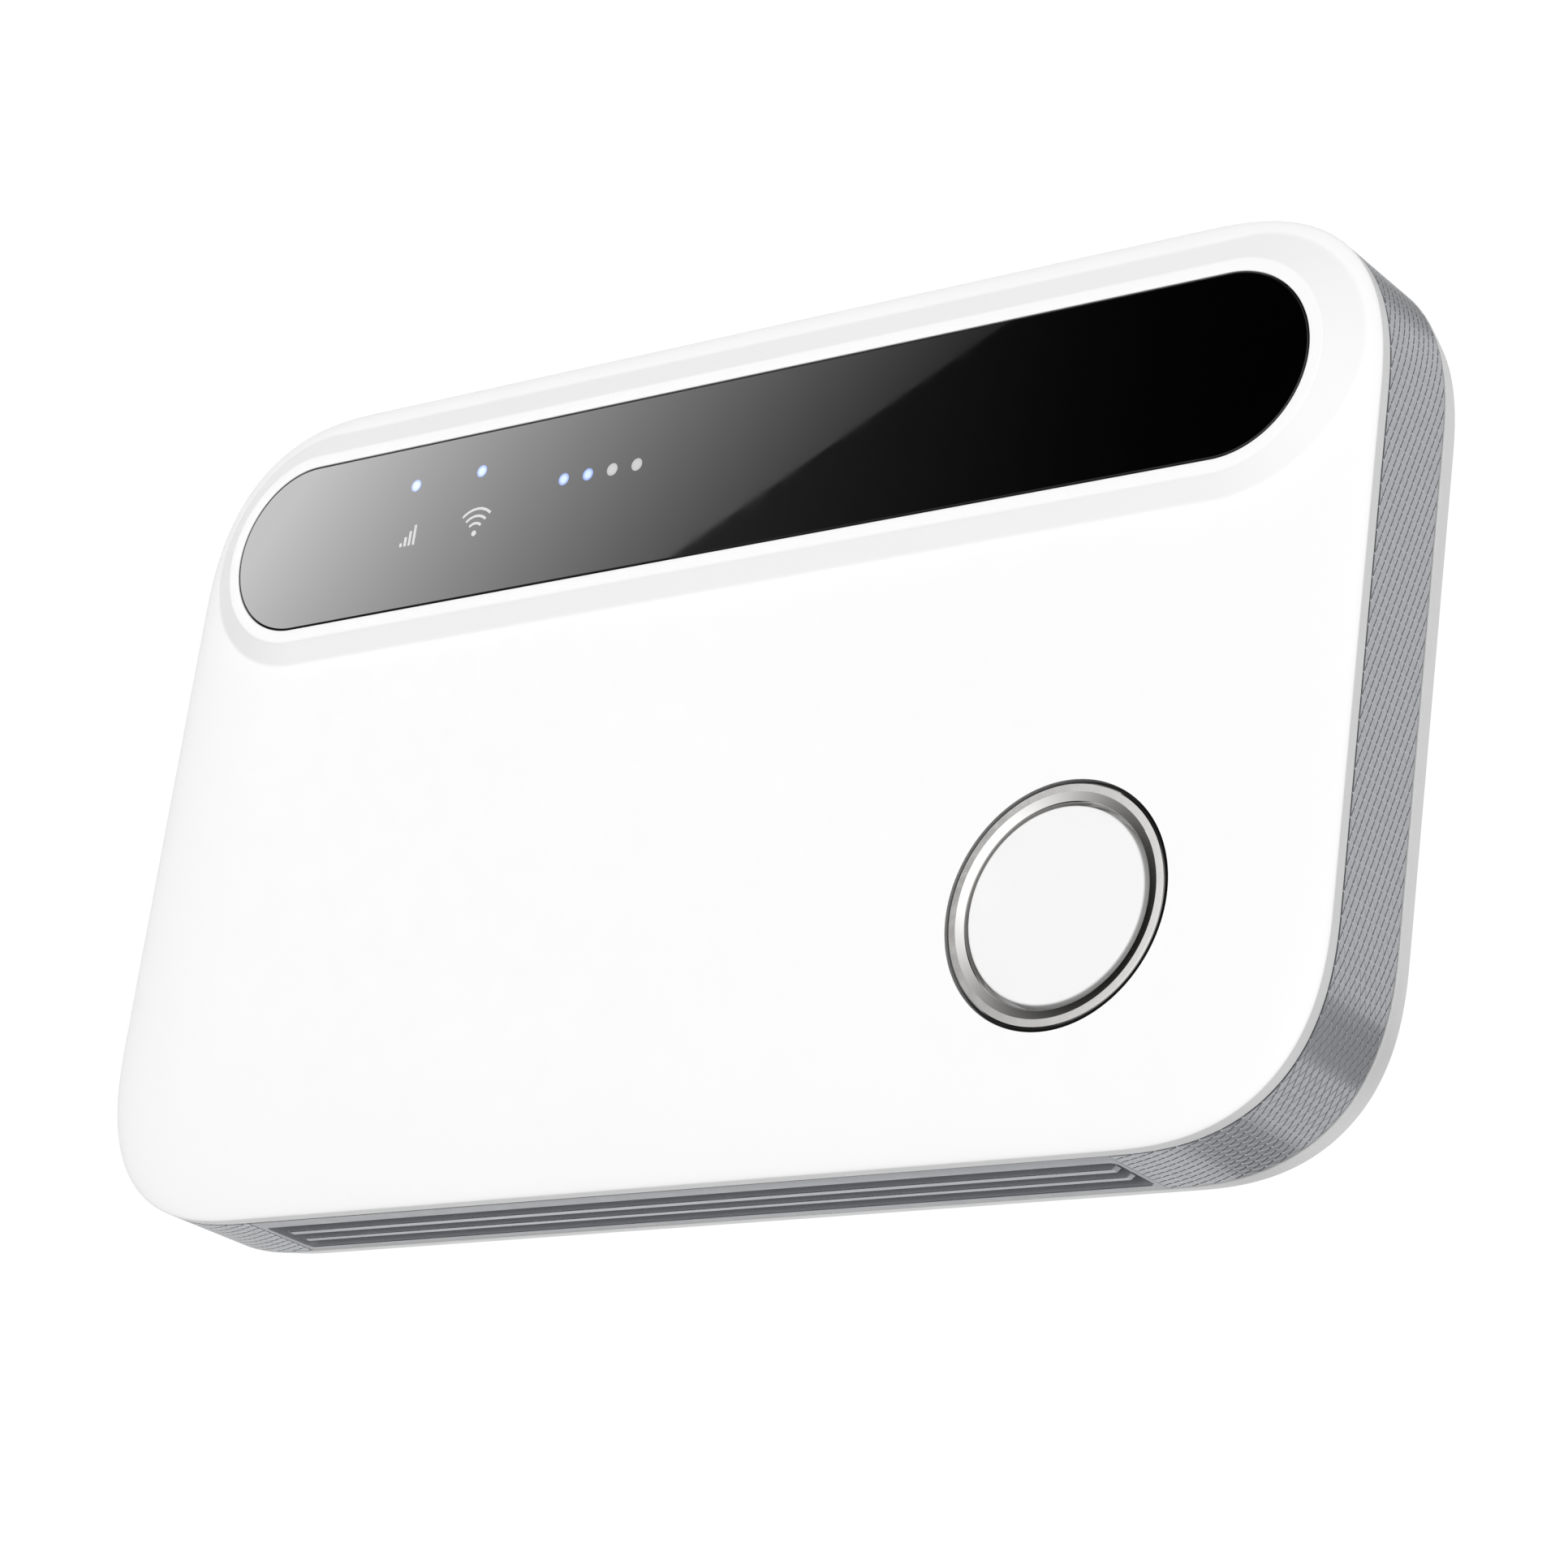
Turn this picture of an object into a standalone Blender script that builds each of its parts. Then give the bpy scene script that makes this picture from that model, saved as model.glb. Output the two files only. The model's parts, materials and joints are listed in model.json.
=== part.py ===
"""Pocket mobile hotspot: white front shell and back cover around a grey side band.

It lies on its back, in metres: +X runs along its width, +Y towards the status window, +Z out of
the front face. The origin is the middle of the back face. Each sub-part is one object, and each
rigid group hangs on an empty at its joint.
"""

import math

import bmesh
import bpy
from mathutils import Matrix, Vector

MM = 0.001

# Casing, from its overall size.
WIDTH = 100.0 * MM
HEIGHT = 61.35 * MM
CORNER_BOX = 14.25 * MM  # the square that each rounded corner fills
CORNER_POWER = 2.57  # superellipse exponent: 2 is a round arc, more is squarer
CORNER_STEPS = 10
REAR_SEAM_Z = 3.74 * MM
FRONT_SEAM_Z = 10.44 * MM
CREASE_Z = 11.34 * MM
FACE_Z = 12.15 * MM
WINDOW_TOP_Z = 13.05 * MM
CROWN_INSET = 10.6 * MM  # how far in from the edge the front face becomes flat
LIP_FOOT = (0.47 * MM, 1.72 * MM)  # inset and height where the back cover's lip starts to roll
BACK_FLAT_INSET = 3.9 * MM  # how far in the back face becomes flat
ROLL_STEPS = 6
SEAM_GAP = 0.2 * MM
COVER_WALL = 1.5 * MM
COVER_FLOOR_Z = 1.2 * MM
COVER_FLOOR_INSET = 4.2 * MM
COVER_HAUNCH = (2.25 * MM, 1.8 * MM)  # inset and height of the slope between floor and wall
COVER_WALL_FOOT_Z = 2.44 * MM
BAND_WALL = 1.2 * MM
FIT_GAP = 0.3 * MM
MOUNT_GAP = 0.1 * MM  # between a part and the board or tape that carries it
PAST = 1.0 * MM  # how far a cutter runs past the wall that it cuts
LAP = 0.4 * MM  # how far a joined shape runs into the one it is joined to

# Front shell's inner side.
CEILING_Z = 10.85 * MM
TONGUE_FOOT_Z = 9.3 * MM
TONGUE = 1.0 * MM

# Status window.
WINDOW_Y = 19.7 * MM
WINDOW_HALF_RUN = 39.11 * MM  # from the middle to the centre of each round end
LENS_RADIUS = 6.43 * MM
LENS_GAP = 0.1 * MM
LENS_THICKNESS = 0.8 * MM
TAPE_THICKNESS = 0.15 * MM
TAPE_WIDTH = 1.2 * MM
WINDOW_RIM = 0.93 * MM
SKIRT_RUN = 1.53 * MM
SKIRT_FOOT_Z = 11.3 * MM
END_STEPS = 14
PIPE_RADIUS = 0.6 * MM

# Power button.
BUTTON_XY = (30.59 * MM, -14.85 * MM)
CAP_RADIUS = 6.46 * MM
CAP_TOP_Z = 12.13 * MM
CAP_EDGE = (0.2 * MM, 0.15 * MM)  # width and drop of the bevel round its top
CAP_FLANGE_RADIUS = 7.7 * MM
CAP_FLANGE_Z = 10.1 * MM
CAP_FLANGE = 0.45 * MM
CAP_STEM_RADIUS = 1.5 * MM
CAP_STEM_Z = 9.8 * MM
RING_INNER = 6.7 * MM
RING_OUTER = 8.0 * MM
RING_TOP_Z = 12.2 * MM
RING_FOOT_Z = 11.5 * MM
RING_FUNNEL = (0.6 * MM, 0.15 * MM)  # width and drop of the inner slope
RING_EDGE = 0.12 * MM
TACT_SIZE = (4.5 * MM, 0.8 * MM)
TACT_FLOOR = 0.15 * MM
PLUNGER_RADIUS = 1.1 * MM
PLUNGER_GAP = 0.2 * MM
PLUNGER_LIFT = 0.4 * MM  # what it stands above the floor of its bore
BUTTON_STEPS = 40

# Grille in the lower side wall.
GRILLE_HALF_X = 35.0 * MM
GRILLE_Z = (4.56 * MM, 9.19 * MM)
GRILLE_DEPTH = 0.9 * MM
GRILLE_RIBS_Z = ((5.76 * MM, 6.31 * MM), (7.32 * MM, 7.94 * MM))
RIB_HALF_X = 34.3 * MM
RIB_INSET = 0.25 * MM

# Chassis inside the band: a plate, with the battery's bay and lighter pockets below it.
CHASSIS_INSET = 1.4 * MM
CHASSIS_WALL = 1.0 * MM
WEB_Z = (6.8 * MM, 7.5 * MM)
BAY_X = (-34.6 * MM, 26.6 * MM)
BAY_TOP_Y = 11.6 * MM
BAY_WALL = 1.2 * MM
PORT_CUT_X = (-16.0 * MM, 5.6 * MM)
PORT_CUT_Y = 22.6 * MM
SIM_BAY_X = (12.2 * MM, 33.0 * MM)

# Circuit board and its screws.
BOARD_Z = (7.8 * MM, 8.5 * MM)
BOARD_INSET = 2.3 * MM
SCREW_X = 41.0 * MM
SCREW_Y = 21.0 * MM
SCREW_HEAD_RADIUS = 1.5 * MM
SCREW_HEAD = 0.7 * MM
SCREW_SHANK_RADIUS = 0.8 * MM
SCREW_FOOT_Z = 5.4 * MM
SCREW_TIP = 0.6  # share of the shank's radius
SCREW_CROWN = 0.85  # share of the head's radius
SCREW_SLOT = (0.6, 0.13)  # half length and half width, as shares of the head's radius
BOSS_RADIUS = 2.2 * MM
BOSS_FOOT_Z = 4.6 * MM

# Ports on the upper side wall.
USB_Z = 7.3 * MM
USB_OUTER = (8.94 * MM, 3.26 * MM)
USB_INNER = (8.34 * MM, 2.56 * MM)
USB_HOLE = (9.6 * MM, 3.9 * MM)
USB_Y = (23.0 * MM, 30.3 * MM)
TONGUE_SIZE = (6.69 * MM, 4.45 * MM, 0.7 * MM)
TONGUE_BASE_INSET = 0.9 * MM
TONGUE_BASE = 1.1 * MM
SIM_X = 22.0 * MM
SIM_Z = 6.5 * MM
SIM_HEAD = (13.0 * MM, 1.4 * MM, 2.4 * MM)
TRAY_SIZE = (10.6 * MM, 1.2 * MM)
TRAY_TAIL_Y = 14.5 * MM
CARD_SIZE = (8.8 * MM, 12.3 * MM, 0.67 * MM)
CARD_CORNER = 0.9 * MM
CARD_GAP = 0.1 * MM
TRAY_RAIL = 0.9 * MM
TRAY_LEDGE = 1.0 * MM
CAGE_WALL = 0.2 * MM
CAGE_TAIL_GAP = 0.6 * MM
EJECT_HOLE_RADIUS = 0.45 * MM
EJECT_HOLE_DEPTH = 0.8 * MM
EJECT_HOLE_FROM_END = 1.3 * MM
RESET_X = -12.0 * MM
RESET_Z = 6.5 * MM
RESET_PIN_RADIUS = 0.6 * MM
RESET_PIN_Y = (26.5 * MM, 29.6 * MM)
RESET_SWITCH = (4.0 * MM, 3.2 * MM, 2.0 * MM)
RESET_PIN_REACH = 0.9 * MM  # how far the pin runs into the switch
RESET_BORE_PAST = 0.5 * MM  # how far the bore runs past the pin

# Battery.
BATTERY_Z = (2.0 * MM, 6.5 * MM)
BATTERY_FOOT_Y = -26.9 * MM
BATTERY_BEVEL = 1.4 * MM
BATTERY_GAP = 0.4 * MM
PAD_SIZE = (40.0 * MM, 24.0 * MM, 0.4 * MM)
PAD_XY = (-4.0 * MM, -8.0 * MM)
CONNECTOR_X = (-7.7 * MM, 3.7 * MM)
CONNECTOR_DEPTH = 2.7 * MM
CONTACTS = 3
CONTACT_PITCH = 3.0 * MM
CONTACT_SIZE = (1.0 * MM, 0.28 * MM)

# Parts on the board: middle and size in mm, height and finish.
CANS = {
    "modem_shield_can": ((-16.0, -2.0), (28.0, 24.0)),
    "wifi_shield_can": ((14.0, 4.0), (16.0, 14.0)),
}
CAN_HEIGHT = 1.6 * MM
CHIPS = {
    "modem_chip": ((-16.0, -2.0), (12.0, 12.0, 0.9), "black"),
    "wifi_chip": ((14.0, 4.0), (8.0, 8.0, 0.8), "black"),
    "power_ic": ((12.0, -12.0), (5.0, 5.0, 0.9), "black"),
    "power_inductor": ((5.0, -15.0), (4.0, 4.0, 1.4), "ferrite"),
    "power_capacitor": ((13.0, -19.0), (3.2, 1.6, 1.3), "tan"),
}
THERMAL_PAD_SIDE = 12.0 * MM

# Antennas: strips of L section by the short sides, and a stamped one with two legs.
ANTENNA_SHEET = 0.3 * MM
ANTENNA_TOP_Z = 10.6 * MM
ANTENNA_X = (46.8 * MM, 43.4 * MM)
ANTENNA_Y = {"main_antenna": (-1, -12.0 * MM, 14.0 * MM), "diversity_antenna": (1, -4.0 * MM, 14.0 * MM)}
WIFI_ANTENNA_X = (-40.0 * MM, -31.8 * MM)
WIFI_ANTENNA_Y = (24.6 * MM, 26.0 * MM)
WIFI_ANTENNA_LEG = 0.8 * MM
WIFI_ANTENNA_LEG_PITCH = 3.4 * MM

# Status lights: x and y of each, under the window.
BATTERY_LIGHTS_X = -14.69 * MM
BATTERY_LIGHTS_PITCH = 2.19 * MM
BATTERY_LIGHTS_Y = 21.03 * MM
LIGHTS = {"signal_led": (-28.86 * MM, 22.93 * MM), "wifi_led": (-22.63 * MM, 23.01 * MM)}
for place in range(4):
    light_x = BATTERY_LIGHTS_X + place * BATTERY_LIGHTS_PITCH
    LIGHTS[f"battery_led_{place + 1}"] = (light_x, BATTERY_LIGHTS_Y)
LED_SIZE = (0.8 * MM, 1.6 * MM, 0.6 * MM)
SHROUD_CORNER = 0.5 * MM

# Clip tabs of the back cover, by side, as the middle of each along that side.
TAB_WIDTH = 4.0 * MM
TAB_INSET = (2.7 * MM, 3.3 * MM)
TAB_STEP = 0.3 * MM
TAB_TOP_Z = 5.6 * MM
TABS_LOWER = (-20.0 * MM, 10.0 * MM)
TABS_UPPER = (-24.0 * MM, 8.6 * MM)
TABS_LEFT = (0.0,)
TABS_RIGHT = (-5.0 * MM,)
NOTCH_Y = -10.0 * MM
NOTCH_RADIUS = 12.0 * MM
NOTCH_DEPTH = 0.8 * MM


def clear_scene():
    for old in list(bpy.data.objects):
        bpy.data.objects.remove(old, do_unlink=True)


def material(name, colour, roughness, metallic=0.0):
    made = bpy.data.materials.new(name)
    made.use_nodes = True
    shader = made.node_tree.nodes["Principled BSDF"]
    shader.inputs["Base Color"].default_value = (*colour, 1.0)
    shader.inputs["Roughness"].default_value = roughness
    shader.inputs["Metallic"].default_value = metallic
    made.diffuse_color = (*colour, 1.0)
    return made


def body(name, location=(0.0, 0.0, 0.0), parent=None):
    """The empty that one rigid group hangs on, at its joint."""
    empty = bpy.data.objects.new(name, None)
    empty.empty_display_size = 5 * MM
    bpy.context.scene.collection.objects.link(empty)
    empty.location = location
    if parent:
        empty.parent = parent
        empty.location = Vector(location) - world_place(parent)
    return empty


def world_place(obj):
    place = Vector(obj.location)
    while obj.parent:
        obj = obj.parent
        place += Vector(obj.location)
    return place


def add(name, mesh_builder, location=(0.0, 0.0, 0.0), parent=None, finish=None):
    """One object from a bmesh, at a world location, on its body's empty."""
    bmesh.ops.recalc_face_normals(mesh_builder, faces=mesh_builder.faces)
    mesh = bpy.data.meshes.new(name)
    mesh_builder.to_mesh(mesh)
    mesh_builder.free()
    obj = bpy.data.objects.new(name, mesh)
    bpy.context.scene.collection.objects.link(obj)
    obj.location = Vector(location)
    if parent:
        obj.parent = parent
        obj.location = Vector(location) - world_place(parent)
    if finish:
        mesh.materials.append(finish)
        mesh.shade_smooth()
        mesh.set_sharp_from_angle(angle=math.radians(35))
    return obj


def combine(target, builder, operation, location=(0.0, 0.0, 0.0)):
    """Cuts a shape from the target, or joins it on, by a Boolean whose operand stays hidden."""
    modifier = target.modifiers.new(operation.lower(), "BOOLEAN")
    helper = add(f"{target.name}_{operation.lower()}_{len(target.modifiers)}", builder, location)
    helper.hide_render = True
    helper.display_type = "WIRE"
    modifier.operation = operation
    modifier.object = helper
    return helper


def cut(target, builder, location=(0.0, 0.0, 0.0)):
    return combine(target, builder, "DIFFERENCE", location)


def join(target, builder, location=(0.0, 0.0, 0.0)):
    return combine(target, builder, "UNION", location)


def outline(inset, z):
    """A ring of points around the casing, inset from its edge, at one height."""
    radius = CORNER_BOX - inset
    centre_x = WIDTH / 2 - CORNER_BOX
    centre_y = HEIGHT / 2 - CORNER_BOX
    points = []
    for quarter, (side_x, side_y) in enumerate(((1, 1), (-1, 1), (-1, -1), (1, -1))):
        for step in range(CORNER_STEPS + 1):
            turn = step if quarter % 2 == 0 else CORNER_STEPS - step
            angle = math.pi / 2 * turn / CORNER_STEPS
            across = radius * max(0.0, math.cos(angle)) ** (2 / CORNER_POWER)
            along = radius * max(0.0, math.sin(angle)) ** (2 / CORNER_POWER)
            points.append(Vector((side_x * (centre_x + across), side_y * (centre_y + along), z)))
    return points


def stadium(half_run, radius, z, centre_y=0.0):
    """A ring of points with two straight sides along X and round ends."""
    points = []
    for side, start in ((1, -math.pi / 2), (-1, math.pi / 2)):
        for step in range(END_STEPS + 1):
            angle = start + math.pi * step / END_STEPS
            x = side * half_run + radius * math.cos(angle)
            points.append(Vector((x, centre_y + radius * math.sin(angle), z)))
    return points


def circle(radius, z, steps):
    angles = [2 * math.pi * step / steps for step in range(steps)]
    return [Vector((radius * math.cos(a), radius * math.sin(a), z)) for a in angles]


def loft(*rings):
    """A closed body through rings of equally many points, with a flat cap at each end."""
    builder = bmesh.new()
    loops = [[builder.verts.new(point) for point in ring] for ring in rings]
    for lower, upper in zip(loops, loops[1:]):
        for index in range(len(lower)):
            after = (index + 1) % len(lower)
            builder.faces.new((lower[index], lower[after], upper[after], upper[index]))
    builder.faces.new(loops[0])
    builder.faces.new(loops[-1])
    return builder


def box(low, high, bevel=0.0, bevel_segments=2):
    """A box between two corners, in the frame of its object, with its upright edges rounded."""
    low = Vector(low)
    high = Vector(high)
    builder = bmesh.new()
    place = Matrix.Translation((low + high) / 2) @ Matrix.Diagonal((*(high - low), 1.0))
    bmesh.ops.create_cube(builder, size=1.0, matrix=place)
    if bevel:
        upright = [e for e in builder.edges if abs(e.verts[0].co.z - e.verts[1].co.z) > bevel]
        bmesh.ops.bevel(
            builder, geom=upright, offset=bevel, segments=bevel_segments, profile=0.5, affect="EDGES"
        )
    return builder


def rod(radius, z, steps=20):
    """A cylinder along Z, between two heights."""
    return loft(circle(radius, z[0], steps), circle(radius, z[1], steps))


def turn(builder, angle, axis):
    bmesh.ops.rotate(builder, cent=(0, 0, 0), matrix=Matrix.Rotation(angle, 3, axis), verts=builder.verts)
    return builder


def rod_along_y(radius, y, steps=16):
    return turn(rod(radius, y, steps), -math.pi / 2, "X")


def slot_along_y(size, y):
    """A tube shape with round sides, as a USB-C mouth has, between two places along Y."""
    half_run = (size[0] - size[1]) / 2
    return turn(loft(*(stadium(half_run, size[1] / 2, place) for place in y)), -math.pi / 2, "X")


def turned(profile, steps):
    """A ring turned about Z from a closed profile of (radius, height) points."""
    builder = bmesh.new()
    corners = [builder.verts.new((radius, 0.0, z)) for radius, z in profile]
    edges = [builder.edges.new((a, b)) for a, b in zip(corners, corners[1:] + corners[:1])]
    bmesh.ops.spin(
        builder,
        geom=corners + edges,
        cent=(0, 0, 0),
        axis=(0, 0, 1),
        angle=2 * math.pi,
        steps=steps,
        use_merge=True,
    )
    return builder


def chamber(z, x=(-WIDTH, WIDTH), y=(-HEIGHT, HEIGHT)):
    """The space inside the chassis's wall, kept only between the given x and y."""
    inset = CHASSIS_INSET + CHASSIS_WALL
    builder = loft(outline(inset, z[0]), outline(inset, z[1]))
    for sign, place, axis in ((-1, x[0], 0), (1, x[1], 0), (-1, y[0], 1), (1, y[1], 1)):
        normal = Vector((0.0, 0.0, 0.0))
        normal[axis] = sign
        point = normal * abs(place) if place * sign > 0 else normal * -abs(place)
        geometry = builder.verts[:] + builder.edges[:] + builder.faces[:]
        bmesh.ops.bisect_plane(
            builder, geom=geometry, plane_co=point, plane_no=normal, clear_outer=True, dist=1e-7
        )
        open_edges = [edge for edge in builder.edges if edge.is_boundary]
        if open_edges:
            bmesh.ops.holes_fill(builder, edges=open_edges)
    return builder


def rolled(start, end):
    """Rings that roll from the side over to a flat face, on a quarter of an ellipse.

    Both ends are an inset and a height.
    """
    rings = []
    for step in range(ROLL_STEPS + 1):
        angle = math.pi / 2 * step / ROLL_STEPS
        inset = start[0] + (end[0] - start[0]) * (1 - math.cos(angle))
        rings.append(outline(inset, start[1] + (end[1] - start[1]) * math.sin(angle)))
    return rings


def front_shell(parent, finish):
    lip_z = FRONT_SEAM_Z + SEAM_GAP / 2
    tongue_inset = BAND_WALL + FIT_GAP
    inside = [
        outline(tongue_inset + TONGUE, CEILING_Z),
        outline(tongue_inset + TONGUE, TONGUE_FOOT_Z),
        outline(tongue_inset, TONGUE_FOOT_Z),
        outline(tongue_inset, lip_z),
        outline(0.0, lip_z),
    ]
    casing = loft(*inside, *rolled((0.0, CREASE_Z), (CROWN_INSET, FACE_Z)))
    shell = add("front_shell", casing, parent=parent, finish=finish)
    slope = SKIRT_RUN / (WINDOW_TOP_Z - FACE_Z)
    top_radius = LENS_RADIUS + WINDOW_RIM
    foot_radius = top_radius + (WINDOW_TOP_Z - SKIRT_FOOT_Z) * slope
    plateau = loft(
        stadium(WINDOW_HALF_RUN, foot_radius, SKIRT_FOOT_Z, WINDOW_Y),
        stadium(WINDOW_HALF_RUN, top_radius, WINDOW_TOP_Z, WINDOW_Y),
    )
    join(shell, plateau)
    pocket_radius = LENS_RADIUS + LENS_GAP
    pocket = loft(
        stadium(WINDOW_HALF_RUN, pocket_radius, pocket_floor_z(), WINDOW_Y),
        stadium(WINDOW_HALF_RUN, pocket_radius, WINDOW_TOP_Z + PAST, WINDOW_Y),
    )
    cut(shell, pocket)
    for x, y in LIGHTS.values():
        cut(shell, rod(PIPE_RADIUS, (CEILING_Z - PAST, pocket_floor_z() + PAST), 12), (x, y, 0.0))
    ring_seat_z = RING_FOOT_Z - MOUNT_GAP
    place = (*BUTTON_XY, 0.0)
    cut(shell, rod(RING_OUTER + MOUNT_GAP, (ring_seat_z, FACE_Z + PAST), BUTTON_STEPS), place)
    cut(shell, rod(RING_INNER, (CEILING_Z - PAST, ring_seat_z + PAST), BUTTON_STEPS), place)
    return shell


def pocket_floor_z():
    return WINDOW_TOP_Z - LENS_THICKNESS - TAPE_THICKNESS - 2 * MOUNT_GAP


def window(parent, lens_finish, tape_finish):
    lens_foot_z = WINDOW_TOP_Z - LENS_THICKNESS
    lens = loft(
        stadium(WINDOW_HALF_RUN, LENS_RADIUS, lens_foot_z, WINDOW_Y),
        stadium(WINDOW_HALF_RUN, LENS_RADIUS, WINDOW_TOP_Z, WINDOW_Y),
    )
    add("window_lens", lens, parent=parent, finish=lens_finish)
    tape_z = (pocket_floor_z() + MOUNT_GAP, pocket_floor_z() + MOUNT_GAP + TAPE_THICKNESS)
    outer_radius = LENS_RADIUS - LENS_GAP
    inner_radius = outer_radius - TAPE_WIDTH
    tape = add(
        "lens_adhesive",
        loft(*(stadium(WINDOW_HALF_RUN, outer_radius, z, WINDOW_Y) for z in tape_z)),
        parent=parent,
        finish=tape_finish,
    )
    hole_z = (tape_z[0] - PAST, tape_z[1] + PAST)
    cut(tape, loft(*(stadium(WINDOW_HALF_RUN, inner_radius, z, WINDOW_Y) for z in hole_z)))


def power_button(parent, button_body, plunger_body, finishes):
    ring_profile = (
        (RING_INNER, RING_FOOT_Z),
        (RING_OUTER, RING_FOOT_Z),
        (RING_OUTER, RING_TOP_Z - RING_EDGE),
        (RING_OUTER - RING_EDGE, RING_TOP_Z),
        (RING_INNER + RING_FUNNEL[0], RING_TOP_Z),
        (RING_INNER, RING_TOP_Z - RING_FUNNEL[1]),
    )
    place = (*BUTTON_XY, 0.0)
    add("button_trim_ring", turned(ring_profile, BUTTON_STEPS), place, parent, finishes["chrome"])
    flange_top_z = CAP_FLANGE_Z + CAP_FLANGE
    cap = loft(
        circle(CAP_STEM_RADIUS, CAP_STEM_Z, BUTTON_STEPS),
        circle(CAP_STEM_RADIUS, CAP_FLANGE_Z, BUTTON_STEPS),
        circle(CAP_FLANGE_RADIUS, CAP_FLANGE_Z, BUTTON_STEPS),
        circle(CAP_FLANGE_RADIUS, flange_top_z, BUTTON_STEPS),
        circle(CAP_RADIUS, flange_top_z, BUTTON_STEPS),
        circle(CAP_RADIUS, CAP_TOP_Z - CAP_EDGE[1], BUTTON_STEPS),
        circle(CAP_RADIUS - CAP_EDGE[0], CAP_TOP_Z, BUTTON_STEPS),
    )
    add("power_button_cap", cap, place, button_body, finishes["white"])
    switch_foot_z = BOARD_Z[1] + MOUNT_GAP
    switch_top_z = switch_foot_z + TACT_SIZE[1]
    half = TACT_SIZE[0] / 2
    switch_shape = box((-half, -half, switch_foot_z), (half, half, switch_top_z), FIT_GAP)
    switch = add("tact_switch_body", switch_shape, place, parent, finishes["steel"])
    bore_floor_z = switch_foot_z + TACT_FLOOR
    cut(switch, rod(PLUNGER_RADIUS + PLUNGER_GAP, (bore_floor_z, switch_top_z + PAST), 16), place)
    plunger_z = (bore_floor_z + PLUNGER_LIFT, CAP_STEM_Z - MOUNT_GAP)
    add("tact_switch_plunger", rod(PLUNGER_RADIUS, plunger_z, 16), place, plunger_body, finishes["black"])


def chassis(parent, finish):
    foot_z = REAR_SEAM_Z + SEAM_GAP / 2
    plate_rings = (outline(CHASSIS_INSET, foot_z), outline(CHASSIS_INSET, WEB_Z[1]))
    plate = add("chassis", loft(*plate_rings), parent=parent, finish=finish)
    below = foot_z - PAST
    above = WEB_Z[1] + PAST
    rear_y = BAY_TOP_Y + BAY_WALL
    pockets = (
        {"x": BAY_X, "y": (-HEIGHT, BAY_TOP_Y)},
        {"x": (-WIDTH, BAY_X[0] - BAY_WALL)},
        {"x": (BAY_X[1] + BAY_WALL, WIDTH), "y": (-HEIGHT, BAY_TOP_Y)},
        {"x": (BAY_X[0], SIM_BAY_X[0] - BAY_WALL), "y": (rear_y, HEIGHT)},
        {"x": (SIM_BAY_X[1] + BAY_WALL, WIDTH), "y": (rear_y, HEIGHT)},
    )
    for limits in pockets:
        cut(plate, chamber((below, WEB_Z[0]), **limits))
    cut(plate, box((PORT_CUT_X[0], PORT_CUT_Y, below), (PORT_CUT_X[1], HEIGHT, above)))
    cut(plate, box((SIM_BAY_X[0], rear_y, below), (SIM_BAY_X[1], HEIGHT, above)))
    for side_x in (-1, 1):
        for side_y in (-1, 1):
            place = (side_x * SCREW_X, side_y * SCREW_Y, 0.0)
            join(plate, rod(BOSS_RADIUS, (BOSS_FOOT_Z, BOARD_Z[0] - MOUNT_GAP), 16), place)
            cut(plate, rod(SCREW_SHANK_RADIUS + FIT_GAP, (SCREW_FOOT_Z - FIT_GAP, above), 16), place)
    hole_low = (CONNECTOR_X[0] - FIT_GAP, BAY_TOP_Y - PAST, below)
    hole_high = (CONNECTOR_X[1] + FIT_GAP, rear_y + PAST, WEB_Z[0])
    cut(plate, box(hole_low, hole_high))


def side_band(parent, finish):
    """The grey ring between the two white shells, with the ports and the grille."""
    low_z = REAR_SEAM_Z + SEAM_GAP / 2
    high_z = FRONT_SEAM_Z - SEAM_GAP / 2
    band = add("side_band", loft(outline(0.0, low_z), outline(0.0, high_z)), parent=parent, finish=finish)
    cut(band, loft(outline(BAND_WALL, low_z - PAST), outline(BAND_WALL, high_z + PAST)))
    wall_y = (HEIGHT / 2 - BAND_WALL - PAST, HEIGHT / 2 + PAST)
    cut(band, slot_along_y(USB_HOLE, wall_y), (0.0, 0.0, USB_Z))
    cut(band, rod_along_y(RESET_PIN_RADIUS + FIT_GAP, wall_y), (RESET_X, 0.0, RESET_Z))
    head_x = SIM_HEAD[0] / 2 + SEAM_GAP / 2
    head_z = SIM_HEAD[2] / 2 + SEAM_GAP / 2
    slot = box((-head_x, wall_y[0], -head_z), (head_x, wall_y[1], head_z))
    cut(band, slot, (SIM_X, 0.0, SIM_Z))
    cut_grille(band)


def cut_grille(band):
    """The shallow pocket in the lower side wall, which leaves two ribs standing."""
    face_y = -HEIGHT / 2
    low_z, high_z = GRILLE_Z
    edges = [low_z, *(z for rib in GRILLE_RIBS_Z for z in rib), high_z]
    for groove in zip(edges[::2], edges[1::2]):
        low = (-GRILLE_HALF_X, face_y - PAST, groove[0])
        high = (GRILLE_HALF_X, face_y + GRILLE_DEPTH, groove[1])
        cut(band, box(low, high))
    for rib in GRILLE_RIBS_Z:
        low = (-GRILLE_HALF_X, face_y - PAST, rib[0] - RIB_INSET)
        high = (GRILLE_HALF_X, face_y + RIB_INSET, rib[1] + RIB_INSET)
        cut(band, box(low, high))
        for side in (-1, 1):
            ends = sorted((side * RIB_HALF_X, side * GRILLE_HALF_X))
            low = (ends[0], face_y - PAST, rib[0] - RIB_INSET)
            high = (ends[1], face_y + GRILLE_DEPTH, rib[1] + RIB_INSET)
            cut(band, box(low, high))


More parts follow.
